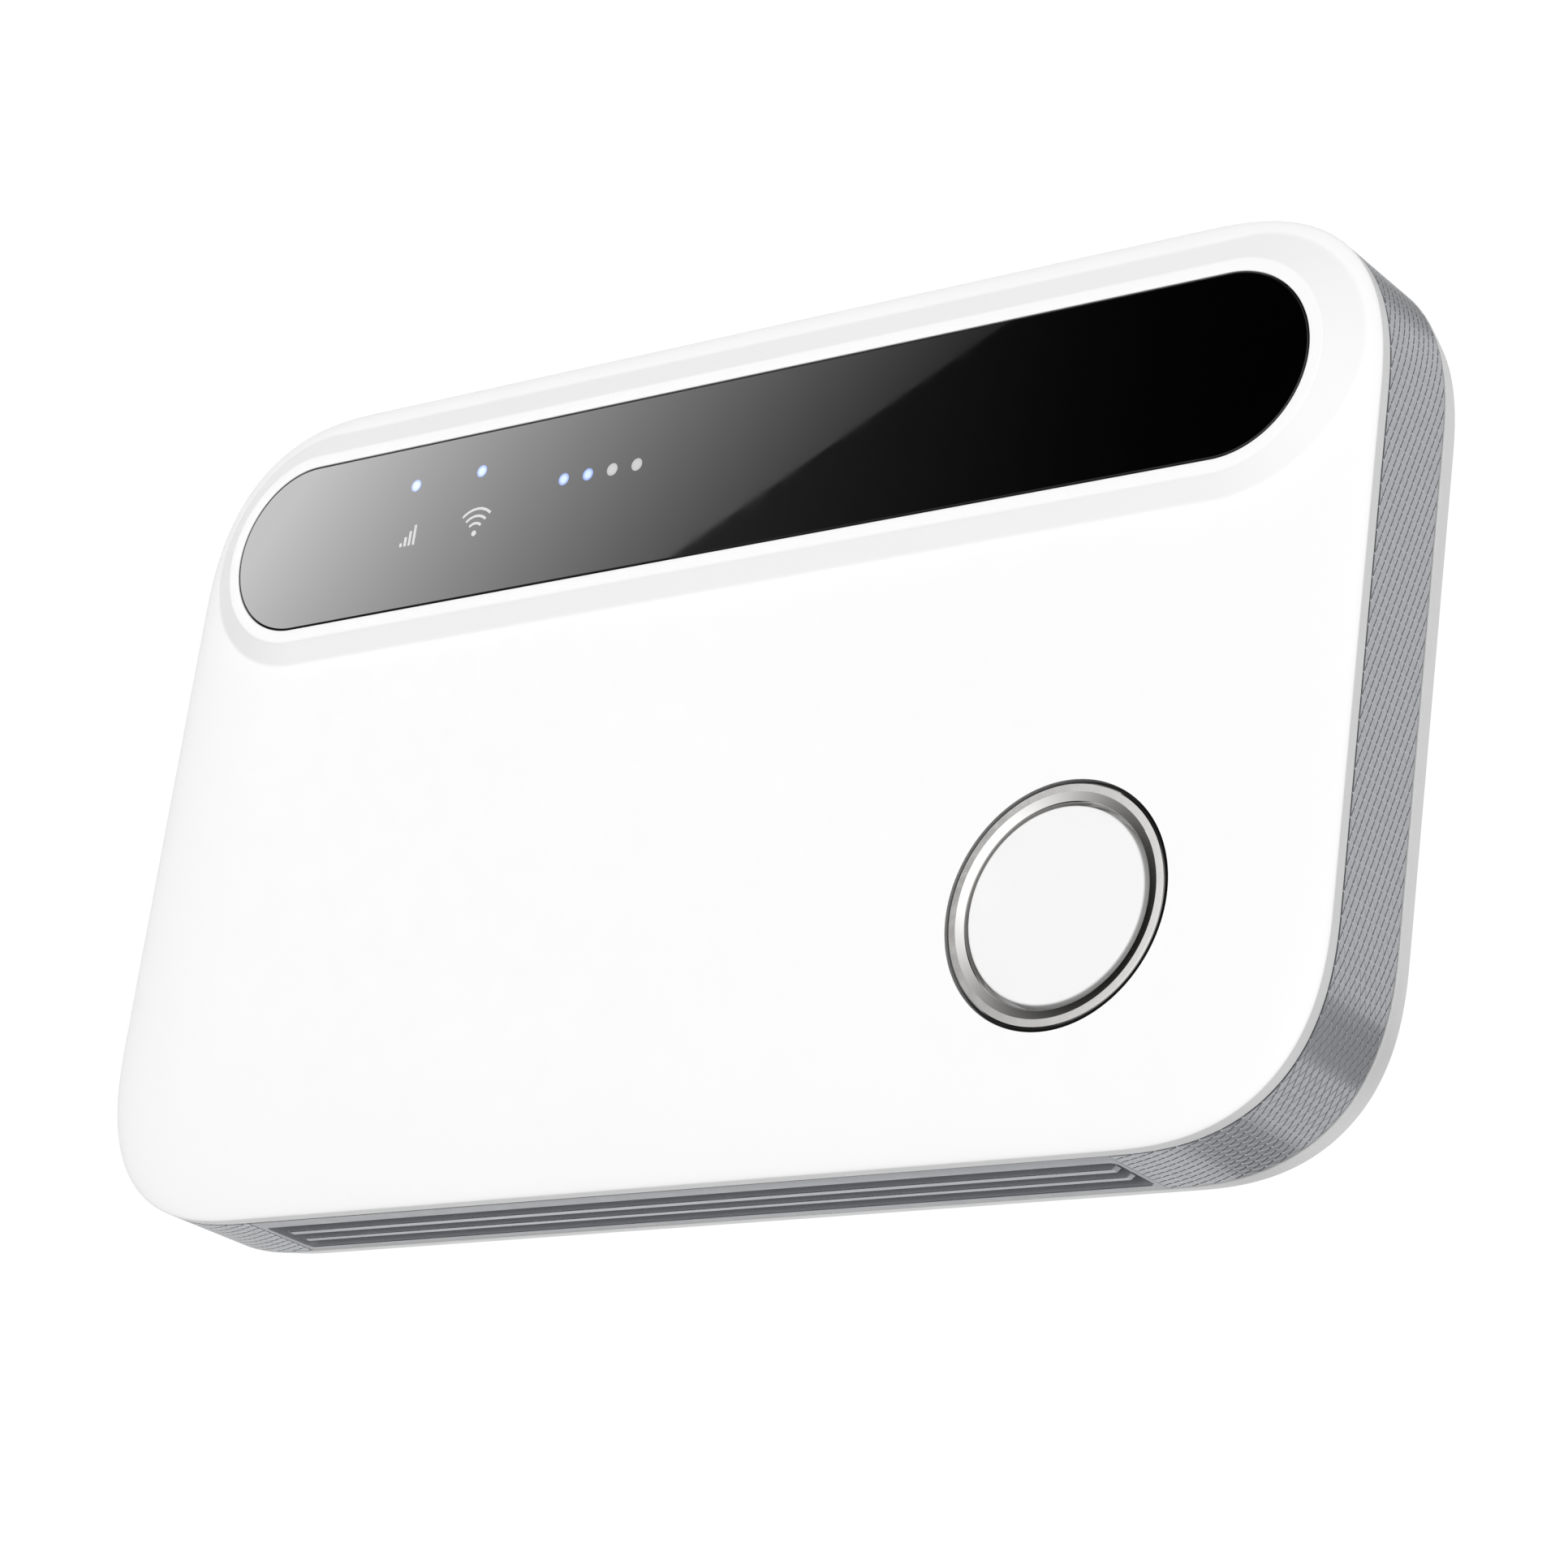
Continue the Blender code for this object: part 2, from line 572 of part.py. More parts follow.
def back_cover(parent, finish):
    lip_z = REAR_SEAM_Z - SEAM_GAP / 2
    inside = [
        outline(COVER_FLOOR_INSET, COVER_FLOOR_Z),
        outline(*COVER_HAUNCH),
        outline(COVER_WALL, COVER_WALL_FOOT_Z),
        outline(COVER_WALL, lip_z),
        outline(0.0, lip_z),
    ]
    casing = loft(*inside, *rolled(LIP_FOOT, (BACK_FLAT_INSET, 0.0)))
    cover = add("back_cover", casing, parent=parent, finish=finish)
    half = TAB_WIDTH / 2
    for side, places in ((-1, TABS_LOWER), (1, TABS_UPPER)):
        for x in places:
            join_tab(cover, lambda inset, run, z: (x + run * half, side * (HEIGHT / 2 - inset), z))
    for side, places in ((-1, TABS_LEFT), (1, TABS_RIGHT)):
        for y in places:
            join_tab(cover, lambda inset, run, z: (side * (WIDTH / 2 - inset), y + run * half, z))
    scoop = turn(rod(NOTCH_RADIUS, (-WIDTH / 2 - PAST, -WIDTH / 2 + PAST), 72), math.pi / 2, "Y")
    cut(cover, scoop, (0.0, NOTCH_Y, lip_z + NOTCH_RADIUS - NOTCH_DEPTH))
    return cover


def join_tab(cover, place):
    """An L-shaped tab: a foot on the cover's wall and a blade that stands up inside the chassis."""
    foot_inset = COVER_WALL - TAB_STEP
    foot_z = COVER_FLOOR_Z - TAB_STEP
    step_z = REAR_SEAM_Z - SEAM_GAP / 2 - TAB_STEP
    profile = (
        (foot_inset, foot_z),
        (TAB_INSET[1], foot_z),
        (TAB_INSET[1], TAB_TOP_Z),
        (TAB_INSET[0], TAB_TOP_Z),
        (TAB_INSET[0], step_z),
        (foot_inset, step_z),
    )
    join(cover, loft(*([Vector(place(inset, run, z)) for inset, z in profile] for run in (-1, 1))))


def board(parent, finishes):
    sheet = loft(*(outline(BOARD_INSET, z) for z in BOARD_Z))
    pcb = add("main_pcb", sheet, parent=parent, finish=finishes["board"])
    below = BOARD_Z[0] - PAST
    above = BOARD_Z[1] + PAST
    side_x = USB_OUTER[0] / 2 + FIT_GAP
    cut(pcb, box((-side_x, USB_Y[0] - FIT_GAP, below), (side_x, HEIGHT, above)))
    for index, (side, up) in enumerate(((-1, -1), (1, -1), (-1, 1), (1, 1))):
        place = (side * SCREW_X, up * SCREW_Y, 0.0)
        cut(pcb, rod(SCREW_SHANK_RADIUS + FIT_GAP, (below, above), 16), place)
        screw(f"pcb_screw_{index + 1}", place, parent, finishes["steel"])
    foot_z = BOARD_Z[1] + MOUNT_GAP
    for name, (middle, size) in CANS.items():
        can(name, Vector((*middle, 0.0)) * MM, Vector(size) * MM, parent, finishes["steel"])
    for name, (middle, size, finish) in CHIPS.items():
        half = Vector(size) * MM / 2
        shape = box((-half.x, -half.y, foot_z), (half.x, half.y, foot_z + 2 * half.z), FIT_GAP, 1)
        add(name, shape, Vector((*middle, 0.0)) * MM, parent, finishes[finish])
    pad_z = (foot_z + CAN_HEIGHT + MOUNT_GAP, CEILING_Z - MOUNT_GAP)
    half = THERMAL_PAD_SIDE / 2
    pad = box((-half, -half, pad_z[0]), (half, half, pad_z[1]))
    middle = CHIPS["modem_chip"][0]
    add("thermal_pad", pad, Vector((*middle, 0.0)) * MM, parent, finishes["pad"])


def screw(name, place, parent, finish):
    """A pan-head screw with a tapered tip and a driver slot."""
    head_z = BOARD_Z[1] + MOUNT_GAP
    shape = loft(
        circle(SCREW_SHANK_RADIUS * SCREW_TIP, SCREW_FOOT_Z, 16),
        circle(SCREW_SHANK_RADIUS, SCREW_FOOT_Z + SCREW_SHANK_RADIUS / 2, 16),
        circle(SCREW_SHANK_RADIUS, head_z, 16),
        circle(SCREW_HEAD_RADIUS, head_z, 16),
        circle(SCREW_HEAD_RADIUS * SCREW_CROWN, head_z + SCREW_HEAD, 16),
    )
    made = add(name, shape, place, parent, finish)
    half_x = SCREW_HEAD_RADIUS * SCREW_SLOT[0]
    half_y = SCREW_HEAD_RADIUS * SCREW_SLOT[1]
    low = (-half_x, -half_y, head_z + SCREW_HEAD / 2)
    cut(made, box(low, (half_x, half_y, head_z + PAST)), place)


def can(name, middle, size, parent, finish):
    """A pressed shield, open towards the board."""
    foot_z = BOARD_Z[1] + MOUNT_GAP
    top_z = foot_z + CAN_HEIGHT
    half = size / 2
    outer = box((-half.x, -half.y, foot_z), (half.x, half.y, top_z), 2 * FIT_GAP)
    made = add(name, outer, middle, parent, finish)
    inner = half - Vector((CAGE_WALL, CAGE_WALL))
    cut(made, box((-inner.x, -inner.y, foot_z - PAST), (inner.x, inner.y, top_z - CAGE_WALL)), middle)


def lights(parent, finishes):
    foot_z = BOARD_Z[1] + MOUNT_GAP
    for name, (x, y) in LIGHTS.items():
        low = (-LED_SIZE[0] / 2, -LED_SIZE[1] / 2, foot_z)
        high = (LED_SIZE[0] / 2, LED_SIZE[1] / 2, foot_z + LED_SIZE[2])
        add(name, box(low, high), (x, y, 0.0), parent, finishes["led"])
    margin = LED_SIZE[1]
    xs = [x for x, _ in LIGHTS.values()]
    ys = [y for _, y in LIGHTS.values()]
    low = (min(xs) - margin, min(ys) - margin, foot_z)
    high = (max(xs) + margin, max(ys) + margin, CEILING_Z - MOUNT_GAP)
    shroud = add("led_shroud", box(low, high, SHROUD_CORNER), parent=parent, finish=finishes["black"])
    half_x = LED_SIZE[0] / 2 + FIT_GAP
    half_y = LED_SIZE[1] / 2 + FIT_GAP
    for x, y in LIGHTS.values():
        well = box((-half_x, -half_y, foot_z - PAST), (half_x, half_y, CEILING_Z + PAST))
        cut(shroud, well, (x, y, 0.0))


def antennas(parent, finish):
    foot_z = BOARD_Z[1] + MOUNT_GAP
    under_z = ANTENNA_TOP_Z - ANTENNA_SHEET
    for name, (side, low_y, high_y) in ANTENNA_Y.items():
        outer = side * ANTENNA_X[0]
        inner = side * ANTENNA_X[1]
        profile = (
            (outer, foot_z),
            (outer, ANTENNA_TOP_Z),
            (inner, ANTENNA_TOP_Z),
            (inner, under_z),
            (outer - side * ANTENNA_SHEET, under_z),
            (outer - side * ANTENNA_SHEET, foot_z),
        )
        strip = loft(*([Vector((x, y, z)) for x, z in profile] for y in (low_y, high_y)))
        add(name, strip, parent=parent, finish=finish)
    low = (WIFI_ANTENNA_X[0], WIFI_ANTENNA_Y[0], under_z)
    bar = box(low, (WIFI_ANTENNA_X[1], WIFI_ANTENNA_Y[1], ANTENNA_TOP_Z))
    strip = add("wifi_antenna", bar, parent=parent, finish=finish)
    for leg_x in (WIFI_ANTENNA_X[0], WIFI_ANTENNA_X[0] + WIFI_ANTENNA_LEG_PITCH):
        low = (leg_x, WIFI_ANTENNA_Y[0], foot_z)
        high = (leg_x + WIFI_ANTENNA_LEG, WIFI_ANTENNA_Y[0] + ANTENNA_SHEET, under_z + ANTENNA_SHEET / 2)
        join(strip, box(low, high))


def usb_port(parent, finishes):
    place = (0.0, 0.0, USB_Z)
    shell = add("usb_c_shell", slot_along_y(USB_OUTER, USB_Y), place, parent, finishes["steel"])
    back_wall_y = USB_Y[0] + CAGE_WALL
    cut(shell, slot_along_y(USB_INNER, (back_wall_y, USB_Y[1] + PAST)), place)
    base_y = (back_wall_y + MOUNT_GAP, back_wall_y + MOUNT_GAP + TONGUE_BASE)
    half_x = USB_INNER[0] / 2 - TONGUE_BASE_INSET
    half_z = USB_INNER[1] / 2 - MOUNT_GAP
    base = box((-half_x, base_y[0], -half_z), (half_x, base_y[1], half_z))
    tongue = add("usb_c_tongue", base, place, parent, finishes["black"])
    wide, long, thick = TONGUE_SIZE
    blade = box((-wide / 2, base_y[1] - LAP, -thick / 2), (wide / 2, base_y[1] + long, thick / 2))
    join(tongue, blade, place)


def sim_parts(parent, tray_body, finishes):
    wide, thick = TRAY_SIZE
    face_y = HEIGHT / 2
    neck_y = face_y - SIM_HEAD[1]
    tray = add(
        "sim_tray",
        box((-SIM_HEAD[0] / 2, neck_y, -SIM_HEAD[2] / 2), (SIM_HEAD[0] / 2, face_y, SIM_HEAD[2] / 2)),
        (SIM_X, 0.0, SIM_Z),
        tray_body,
        finishes["grey"],
    )
    place = (SIM_X, 0.0, SIM_Z)
    join(tray, box((-wide / 2, TRAY_TAIL_Y, -thick / 2), (wide / 2, neck_y + LAP, thick / 2)), place)
    pocket_x = CARD_SIZE[0] / 2 + CARD_GAP
    pocket_foot_y = TRAY_TAIL_Y + TRAY_RAIL
    pocket_y = (pocket_foot_y, pocket_foot_y + CARD_SIZE[1] + 2 * CARD_GAP)
    floor_z = thick / 2 - CARD_SIZE[2] - 2 * CARD_GAP
    cut(tray, box((-pocket_x, pocket_y[0], floor_z), (pocket_x, pocket_y[1], thick / 2 + PAST)), place)
    low = (TRAY_LEDGE - pocket_x, pocket_y[0] + TRAY_LEDGE, -PAST)
    hole = box(low, (pocket_x - TRAY_LEDGE, pocket_y[1] - TRAY_LEDGE, PAST))
    cut(tray, hole, place)
    eject = rod_along_y(EJECT_HOLE_RADIUS, (face_y - EJECT_HOLE_DEPTH, face_y + PAST), 12)
    cut(tray, eject, (SIM_X + SIM_HEAD[0] / 2 - EJECT_HOLE_FROM_END, 0.0, SIM_Z))
    card_foot_z = floor_z + CARD_GAP
    card_low = (-CARD_SIZE[0] / 2, pocket_y[0] + CARD_GAP, card_foot_z)
    card_high = (CARD_SIZE[0] / 2, pocket_y[0] + CARD_GAP + CARD_SIZE[1], card_foot_z + CARD_SIZE[2])
    add("sim_card", box(card_low, card_high, CARD_CORNER), place, tray_body, finishes["card"])
    cage_x = wide / 2 + FIT_GAP
    cage_z = thick / 2 + FIT_GAP
    cage_y = (TRAY_TAIL_Y - CAGE_TAIL_GAP, neck_y - FIT_GAP)
    wall = CAGE_WALL
    outer = box((-cage_x - wall, cage_y[0] - wall, -cage_z - wall), (cage_x + wall, cage_y[1], cage_z + wall))
    cage = add("sim_connector", outer, place, parent, finishes["steel"])
    cut(cage, box((-cage_x, cage_y[0], -cage_z), (cage_x, cage_y[1] + PAST, cage_z)), place)


def reset(parent, pin_body, finishes):
    pin = rod_along_y(RESET_PIN_RADIUS, RESET_PIN_Y)
    place = (RESET_X, 0.0, RESET_Z)
    add("reset_button", pin, place, pin_body, finishes["black"])
    wide, deep, tall = RESET_SWITCH
    front_y = RESET_PIN_Y[0] + RESET_PIN_REACH
    switch = add(
        "reset_switch_body",
        box((-wide / 2, front_y - deep, -tall / 2), (wide / 2, front_y, tall / 2)),
        place,
        parent,
        finishes["steel"],
    )
    bore_y = (RESET_PIN_Y[0] - RESET_BORE_PAST, front_y + PAST)
    cut(switch, rod_along_y(RESET_PIN_RADIUS + PLUNGER_GAP, bore_y), place)


def battery(parent, battery_body, cover_body, finishes):
    low = (BAY_X[0] + BATTERY_GAP, BATTERY_FOOT_Y, BATTERY_Z[0])
    high = (BAY_X[1] - BATTERY_GAP, BAY_TOP_Y - FIT_GAP, BATTERY_Z[1])
    pack = box(low, high, BATTERY_BEVEL, 4)
    add("battery_pack", pack, parent=battery_body, finish=finishes["battery"])
    half_x = PAD_SIZE[0] / 2
    half_y = PAD_SIZE[1] / 2
    pad_z = COVER_FLOOR_Z + MOUNT_GAP
    pad = box((-half_x, -half_y, pad_z), (half_x, half_y, pad_z + PAD_SIZE[2]), PAST)
    add("battery_foam_pad", pad, (*PAD_XY, 0.0), cover_body, finishes["pad"])
    block_y = BAY_TOP_Y + 2 * MOUNT_GAP
    block_z = (REAR_SEAM_Z + BATTERY_GAP, WEB_Z[0] - FIT_GAP)
    low = (CONNECTOR_X[0], block_y, block_z[0])
    block = box(low, (CONNECTOR_X[1], block_y + CONNECTOR_DEPTH, block_z[1]))
    add("battery_connector", block, parent=parent, finish=finishes["black"])
    middle = (CONNECTOR_X[0] + CONNECTOR_X[1]) / 2
    half = CONTACT_SIZE[0] / 2
    for index in range(CONTACTS):
        x = middle + (index - (CONTACTS - 1) / 2) * CONTACT_PITCH
        low = (-half, block_y - MOUNT_GAP - CONTACT_SIZE[1], block_z[0] + FIT_GAP)
        blade = box(low, (half, block_y - MOUNT_GAP, block_z[1] - FIT_GAP))
        add(f"battery_contact_{index + 1}", blade, (x, 0.0, 0.0), parent, finishes["brass"])


def main():
    clear_scene()
    finishes = {
        "white": material("white_plastic", (0.86, 0.86, 0.86), 0.35),
        "lens": material("smoked_lens", (0.01, 0.01, 0.012), 0.06),
        "tape": material("black_tape", (0.03, 0.03, 0.03), 0.9),
        "chrome": material("bright_chrome", (0.75, 0.74, 0.72), 0.12, 1.0),
        "grey": material("silver_paint", (0.38, 0.40, 0.43), 0.38, 0.6),
        "black": material("black_plastic", (0.03, 0.03, 0.03), 0.5),
        "board": material("green_board", (0.02, 0.16, 0.08), 0.45),
        "steel": material("plated_steel", (0.62, 0.62, 0.60), 0.3, 1.0),
        "ferrite": material("ferrite", (0.12, 0.12, 0.13), 0.7),
        "tan": material("ceramic_body", (0.55, 0.40, 0.26), 0.6),
        "pad": material("grey_pad", (0.30, 0.31, 0.33), 0.95),
        "led": material("led_lens", (0.80, 0.84, 0.78), 0.3),
        "brass": material("gold_brass", (0.80, 0.58, 0.25), 0.3, 1.0),
        "battery": material("battery_wrap", (0.05, 0.05, 0.055), 0.55),
        "card": material("card_plastic", (0.82, 0.82, 0.80), 0.45),
    }
    cover_body = body("back_cover_body")
    unit_body = body("main_unit_body", parent=cover_body)
    battery_body = body("battery_body", (0.0, 0.0, BATTERY_Z[1]), unit_body)
    button_body = body("power_button_body", (*BUTTON_XY, CAP_TOP_Z), unit_body)
    plunger_body = body("power_plunger_body", (*BUTTON_XY, CAP_STEM_Z), unit_body)
    tray_body = body("sim_tray_body", (SIM_X, HEIGHT / 2, SIM_Z), unit_body)
    pin_body = body("reset_button_body", (RESET_X, RESET_PIN_Y[1], RESET_Z), unit_body)
    front_shell(unit_body, finishes["white"])
    window(unit_body, finishes["lens"], finishes["tape"])
    power_button(unit_body, button_body, plunger_body, finishes)
    side_band(unit_body, finishes["grey"])
    chassis(unit_body, finishes["black"])
    back_cover(cover_body, finishes["white"])
    board(unit_body, finishes)
    lights(unit_body, finishes)
    antennas(unit_body, finishes["brass"])
    usb_port(unit_body, finishes)
    sim_parts(unit_body, tray_body, finishes)
    reset(unit_body, pin_body, finishes)
    battery(unit_body, battery_body, cover_body, finishes)


main()
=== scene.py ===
"""The looks of a pocket mobile hotspot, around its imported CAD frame.

It lies on its back: +X runs along its width, +Y towards the status window, +Z out of the face.
Sizes here are in millimetres until a mesh is made, and they start from the frame's boxes.
"""

import json
import math

import bmesh
import bpy
import numpy as np
from mathutils import Matrix, Vector


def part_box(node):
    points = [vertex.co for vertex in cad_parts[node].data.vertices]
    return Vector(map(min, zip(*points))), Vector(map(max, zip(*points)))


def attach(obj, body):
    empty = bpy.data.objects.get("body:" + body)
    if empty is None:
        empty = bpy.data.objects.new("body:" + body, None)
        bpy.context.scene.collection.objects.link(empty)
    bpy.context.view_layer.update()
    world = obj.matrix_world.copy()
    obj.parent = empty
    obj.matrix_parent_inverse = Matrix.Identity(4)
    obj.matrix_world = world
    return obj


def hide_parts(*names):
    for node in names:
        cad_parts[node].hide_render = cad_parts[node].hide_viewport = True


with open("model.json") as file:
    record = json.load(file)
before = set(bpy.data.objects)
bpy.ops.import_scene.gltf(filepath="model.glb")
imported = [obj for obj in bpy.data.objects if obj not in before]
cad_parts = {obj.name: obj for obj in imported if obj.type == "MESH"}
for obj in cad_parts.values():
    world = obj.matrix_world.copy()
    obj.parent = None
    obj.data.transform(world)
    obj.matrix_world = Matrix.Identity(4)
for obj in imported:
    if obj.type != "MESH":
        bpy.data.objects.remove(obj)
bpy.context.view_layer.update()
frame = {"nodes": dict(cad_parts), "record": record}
MM = 0.001


def box_mm(node):
    """The low and the high corner of a CAD node, in millimetres."""
    low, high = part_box(node)
    return np.array(low) / MM, np.array(high) / MM


# Casing.
SHELL_BOX = box_mm("front_shell")
BAND_BOX = box_mm("side_band")
HALF_X = SHELL_BOX[1][0]
HALF_Y = SHELL_BOX[1][1]
CORNER = 14.25  # side of the square that each rounded corner fills
CORNER_POWER = 2.57  # superellipse exponent: 2 is a round arc, more is squarer
CORNER_STEPS = 40
FINE_CORNER_STEPS = 240  # for the path that the knurl follows
PATH_REACH = 0.05  # how far ahead and behind a place on it the way along is measured
STRAIGHT_STEP = 1.2
CREASE_Z = 11.34
FACE_Z = 12.15
CROWN_RUN = 10.6
CROWN_EDGE = (0.0, 0.004, 0.012, 0.03, 0.06, 0.1, 0.16, 0.25, 0.35)  # insets of its first rings
LIP_FOOT = (0.47, 1.72)  # inset and height where the back cover's lip ends
LIP_CURL = (0.36, 0.42)  # how far the lip curls in and down before the back rolls flat
ROLL_START = 0.5  # the angle on the roll's ellipse where it takes over from the curl
BACK_ROLL_RUN = 3.9
BACK_FLAT_INSET = 5.4
SEAM_GAP = 0.06
TONGUE_INSET = (1.5, 2.5)
TONGUE_FOOT_Z = 9.3
CEILING_Z = 10.85
COVER_WALL = 1.5
COVER_WALL_FOOT_Z = 2.3
COVER_FLOOR_Z = 1.2
COVER_FLOOR_INSET = 4.2
COVER_HAUNCH = (2.4, 1.7)  # inset and height of the slope between floor and wall
EDGE = 0.08  # the small round along a moulded edge
NOTCH_RADIUS = 12.0
NOTCH_Y = -10.0
NOTCH_DEPTH = 0.8
NOTCH_STEPS = 160
TAB_WIDTH = 4.0
TAB_PROFILE = (  # insets and heights round a clip tab: foot, blade and hooked tip
    (1.2, 0.9),
    (3.3, 0.9),
    (3.3, 5.3),
    (3.1, 5.6),
    (2.8, 5.6),
    (2.7, 5.45),
    (2.7, 3.34),
    (1.2, 3.34),
)
TABS = (  # the foot of each tab on the outline, and its way inward
    ((-20.0, -HALF_Y), (0, 1)),
    ((10.0, -HALF_Y), (0, 1)),
    ((-24.0, HALF_Y), (0, -1)),
    ((8.6, HALF_Y), (0, -1)),
    ((-HALF_X, 0.0), (1, 0)),
    ((HALF_X, -5.0), (-1, 0)),
)
RIB_PLACES = {"x": (-40.0, -37.5, 29.5, 33.0, 36.5), "y": (14.5, 18.5)}  # the cover's ribs
RIB_HALF_WIDTH = 0.3
RIB_TOP_Z = 1.9

# Window.
LENS_BOX = box_mm("window_lens")
WINDOW_Y = (LENS_BOX[0][1] + LENS_BOX[1][1]) / 2
LENS_RADIUS = (LENS_BOX[1][1] - LENS_BOX[0][1]) / 2
SPINE = LENS_BOX[1][0] - LENS_RADIUS
RIM_Z = SHELL_BOX[1][2]
RIM_RADIUS = LENS_RADIUS + 0.93
SKIRT_RUN = 2.74  # how far out from the rim the fine rings over the skirt start
SKIRT_SLOPE = 1.7  # run for each unit of drop
SKIRT_SOFTNESS = 0.06
POCKET_GAP = 0.05
POCKET_FLOOR_Z = RIM_Z - 1.15
LENS_Z = RIM_Z - 0.02
PRINT_Z = (LENS_Z - 0.03, LENS_Z + 0.006)  # foot and top of what is printed on the lens
TAPE_WIDTH = 1.2
TAPE_EDGE = 0.04
DOT_RADIUS = 0.47
LIGHTS = {  # the light dots: lit ones show which battery level the device has
    "signal_led": "lit",
    "wifi_led": "lit",
    "battery_led_1": "lit",
    "battery_led_2": "lit",
    "battery_led_3": "unlit",
    "battery_led_4": "unlit",
}
BARS_DROP = 4.73  # from the signal light down to the foot of its bars
BAR_STEP = (0.40, 0.42)  # how far right and up each bar goes on from the one before
BAR_SIZE = (0.24, 0.30)
ARCS_OFFSET = (0.18, -4.85)  # from the wireless light to the dot under the arcs
ARC_FAN = math.radians(43)
ARCS = ((0.0, 0.22, math.pi), (0.68, 0.88, ARC_FAN), (1.24, 1.44, ARC_FAN), (1.80, 2.00, ARC_FAN))
ARC_STEPS = 24

# Button.
CAP_BOX = box_mm("power_button_cap")
RING_BOX = box_mm("button_trim_ring")
BUTTON = (RING_BOX[0] + RING_BOX[1]) / 2
RING_RADIUS = (RING_BOX[1][0] - RING_BOX[0][0]) / 2
RING_Z = FACE_Z + 0.03
RING_FOOT_Z = 11.3
RING_WALL = 1.2
FACET_DROP = (0.006, 0.15)  # how far below the ring's top its inner slope starts and ends
CAP_RADIUS = 6.46
CAP_Z = FACE_Z - 0.02
CAP_STEM = 0.3
CAP_FLANGE = (7.7, 0.45)  # radius and thickness
HOLE_RADIUS = 8.17
HOLE_FOOT_Z = 11.4
HOLE_LEDGE_Z = 12.0
RING_STEPS = 160

# Band.
BAND_WALL = 1.2
BAND_Z = (BAND_BOX[0][2] - 0.08, BAND_BOX[1][2] + 0.08)
KNURL_DEPTH = 0.09
CELL_ACROSS = (BAND_Z[1] - BAND_Z[0]) / 10.9
CELL_ALONG = 1.55
CELL_GROOVE = 0.06  # half of a groove's width
CELL_BULGE = 0.05
CELL_FOOT_GAP = (0.006, 0.015)  # across and along
CELL_Z = (BAND_Z[0] + 0.09, BAND_Z[1] - 0.05)
BAND_EDGE = (0.1, 0.06)  # width and height of the ring's chamfers
GRILLE_HALF_X = 35.0
GRILLE_Z = (4.56, 9.19)
GRILLE_DEPTH = 0.9
GRILLE_CORNER = 0.5
RIBS_Z = ((5.76, 6.31), (7.32, 7.94))
RIB_HALF_X = 34.3
RIB_ENDS = ((0.0, 0.5), (0.03, 0.24), (0.3, 0.02), (0.36, 0.0))  # run and drop of each end
RIB_SINK = 0.03  # how far the ribs' tops lie under the wall's surface
RIB_CHAMFER = 0.05
GRILLE_PANEL_X = (-GRILLE_HALF_X - 0.4, GRILLE_HALF_X + 0.4)
PORT_PANEL_X = (-15.8, 31.2)
PANEL_GAP = 0.05  # between a panel's edge and the cells beside it
PANEL_DEPTH = 0.6
USB_HOLE = (9.6, 3.9)
PIN_HOLE_RADIUS = 0.9
TRAY_GAP = 0.1
TRAY_CORNER = 0.3


# ---------------------------------------------------------------- materials


def remap(tree, value, source, target=(0.0, 1.0)):
    """A Map Range node that takes the source range to the target range."""
    node = tree.nodes.new("ShaderNodeMapRange")
    for socket, number in zip(("From Min", "From Max", "To Min", "To Max"), (*source, *target)):
        node.inputs[socket].default_value = number
    tree.links.new(value, node.inputs["Value"])
    return node


def calculate(tree, operation, *terms):
    """The result of a Math node, whose terms are numbers or other nodes' outputs."""
    node = tree.nodes.new("ShaderNodeMath")
    node.operation = operation
    for socket, term in zip(node.inputs, terms):
        if isinstance(term, (int, float)):
            socket.default_value = term
        else:
            tree.links.new(term, socket)
    return node.outputs["Value"]


def vector_value(tree, operation, vector, other=None):
    """A Vector Math node's single number, such as a length or a dot product."""
    node = tree.nodes.new("ShaderNodeVectorMath")
    node.operation = operation
    tree.links.new(vector, node.inputs[0])
    if other:
        node.inputs[1].default_value = other
    return node.outputs["Value"]


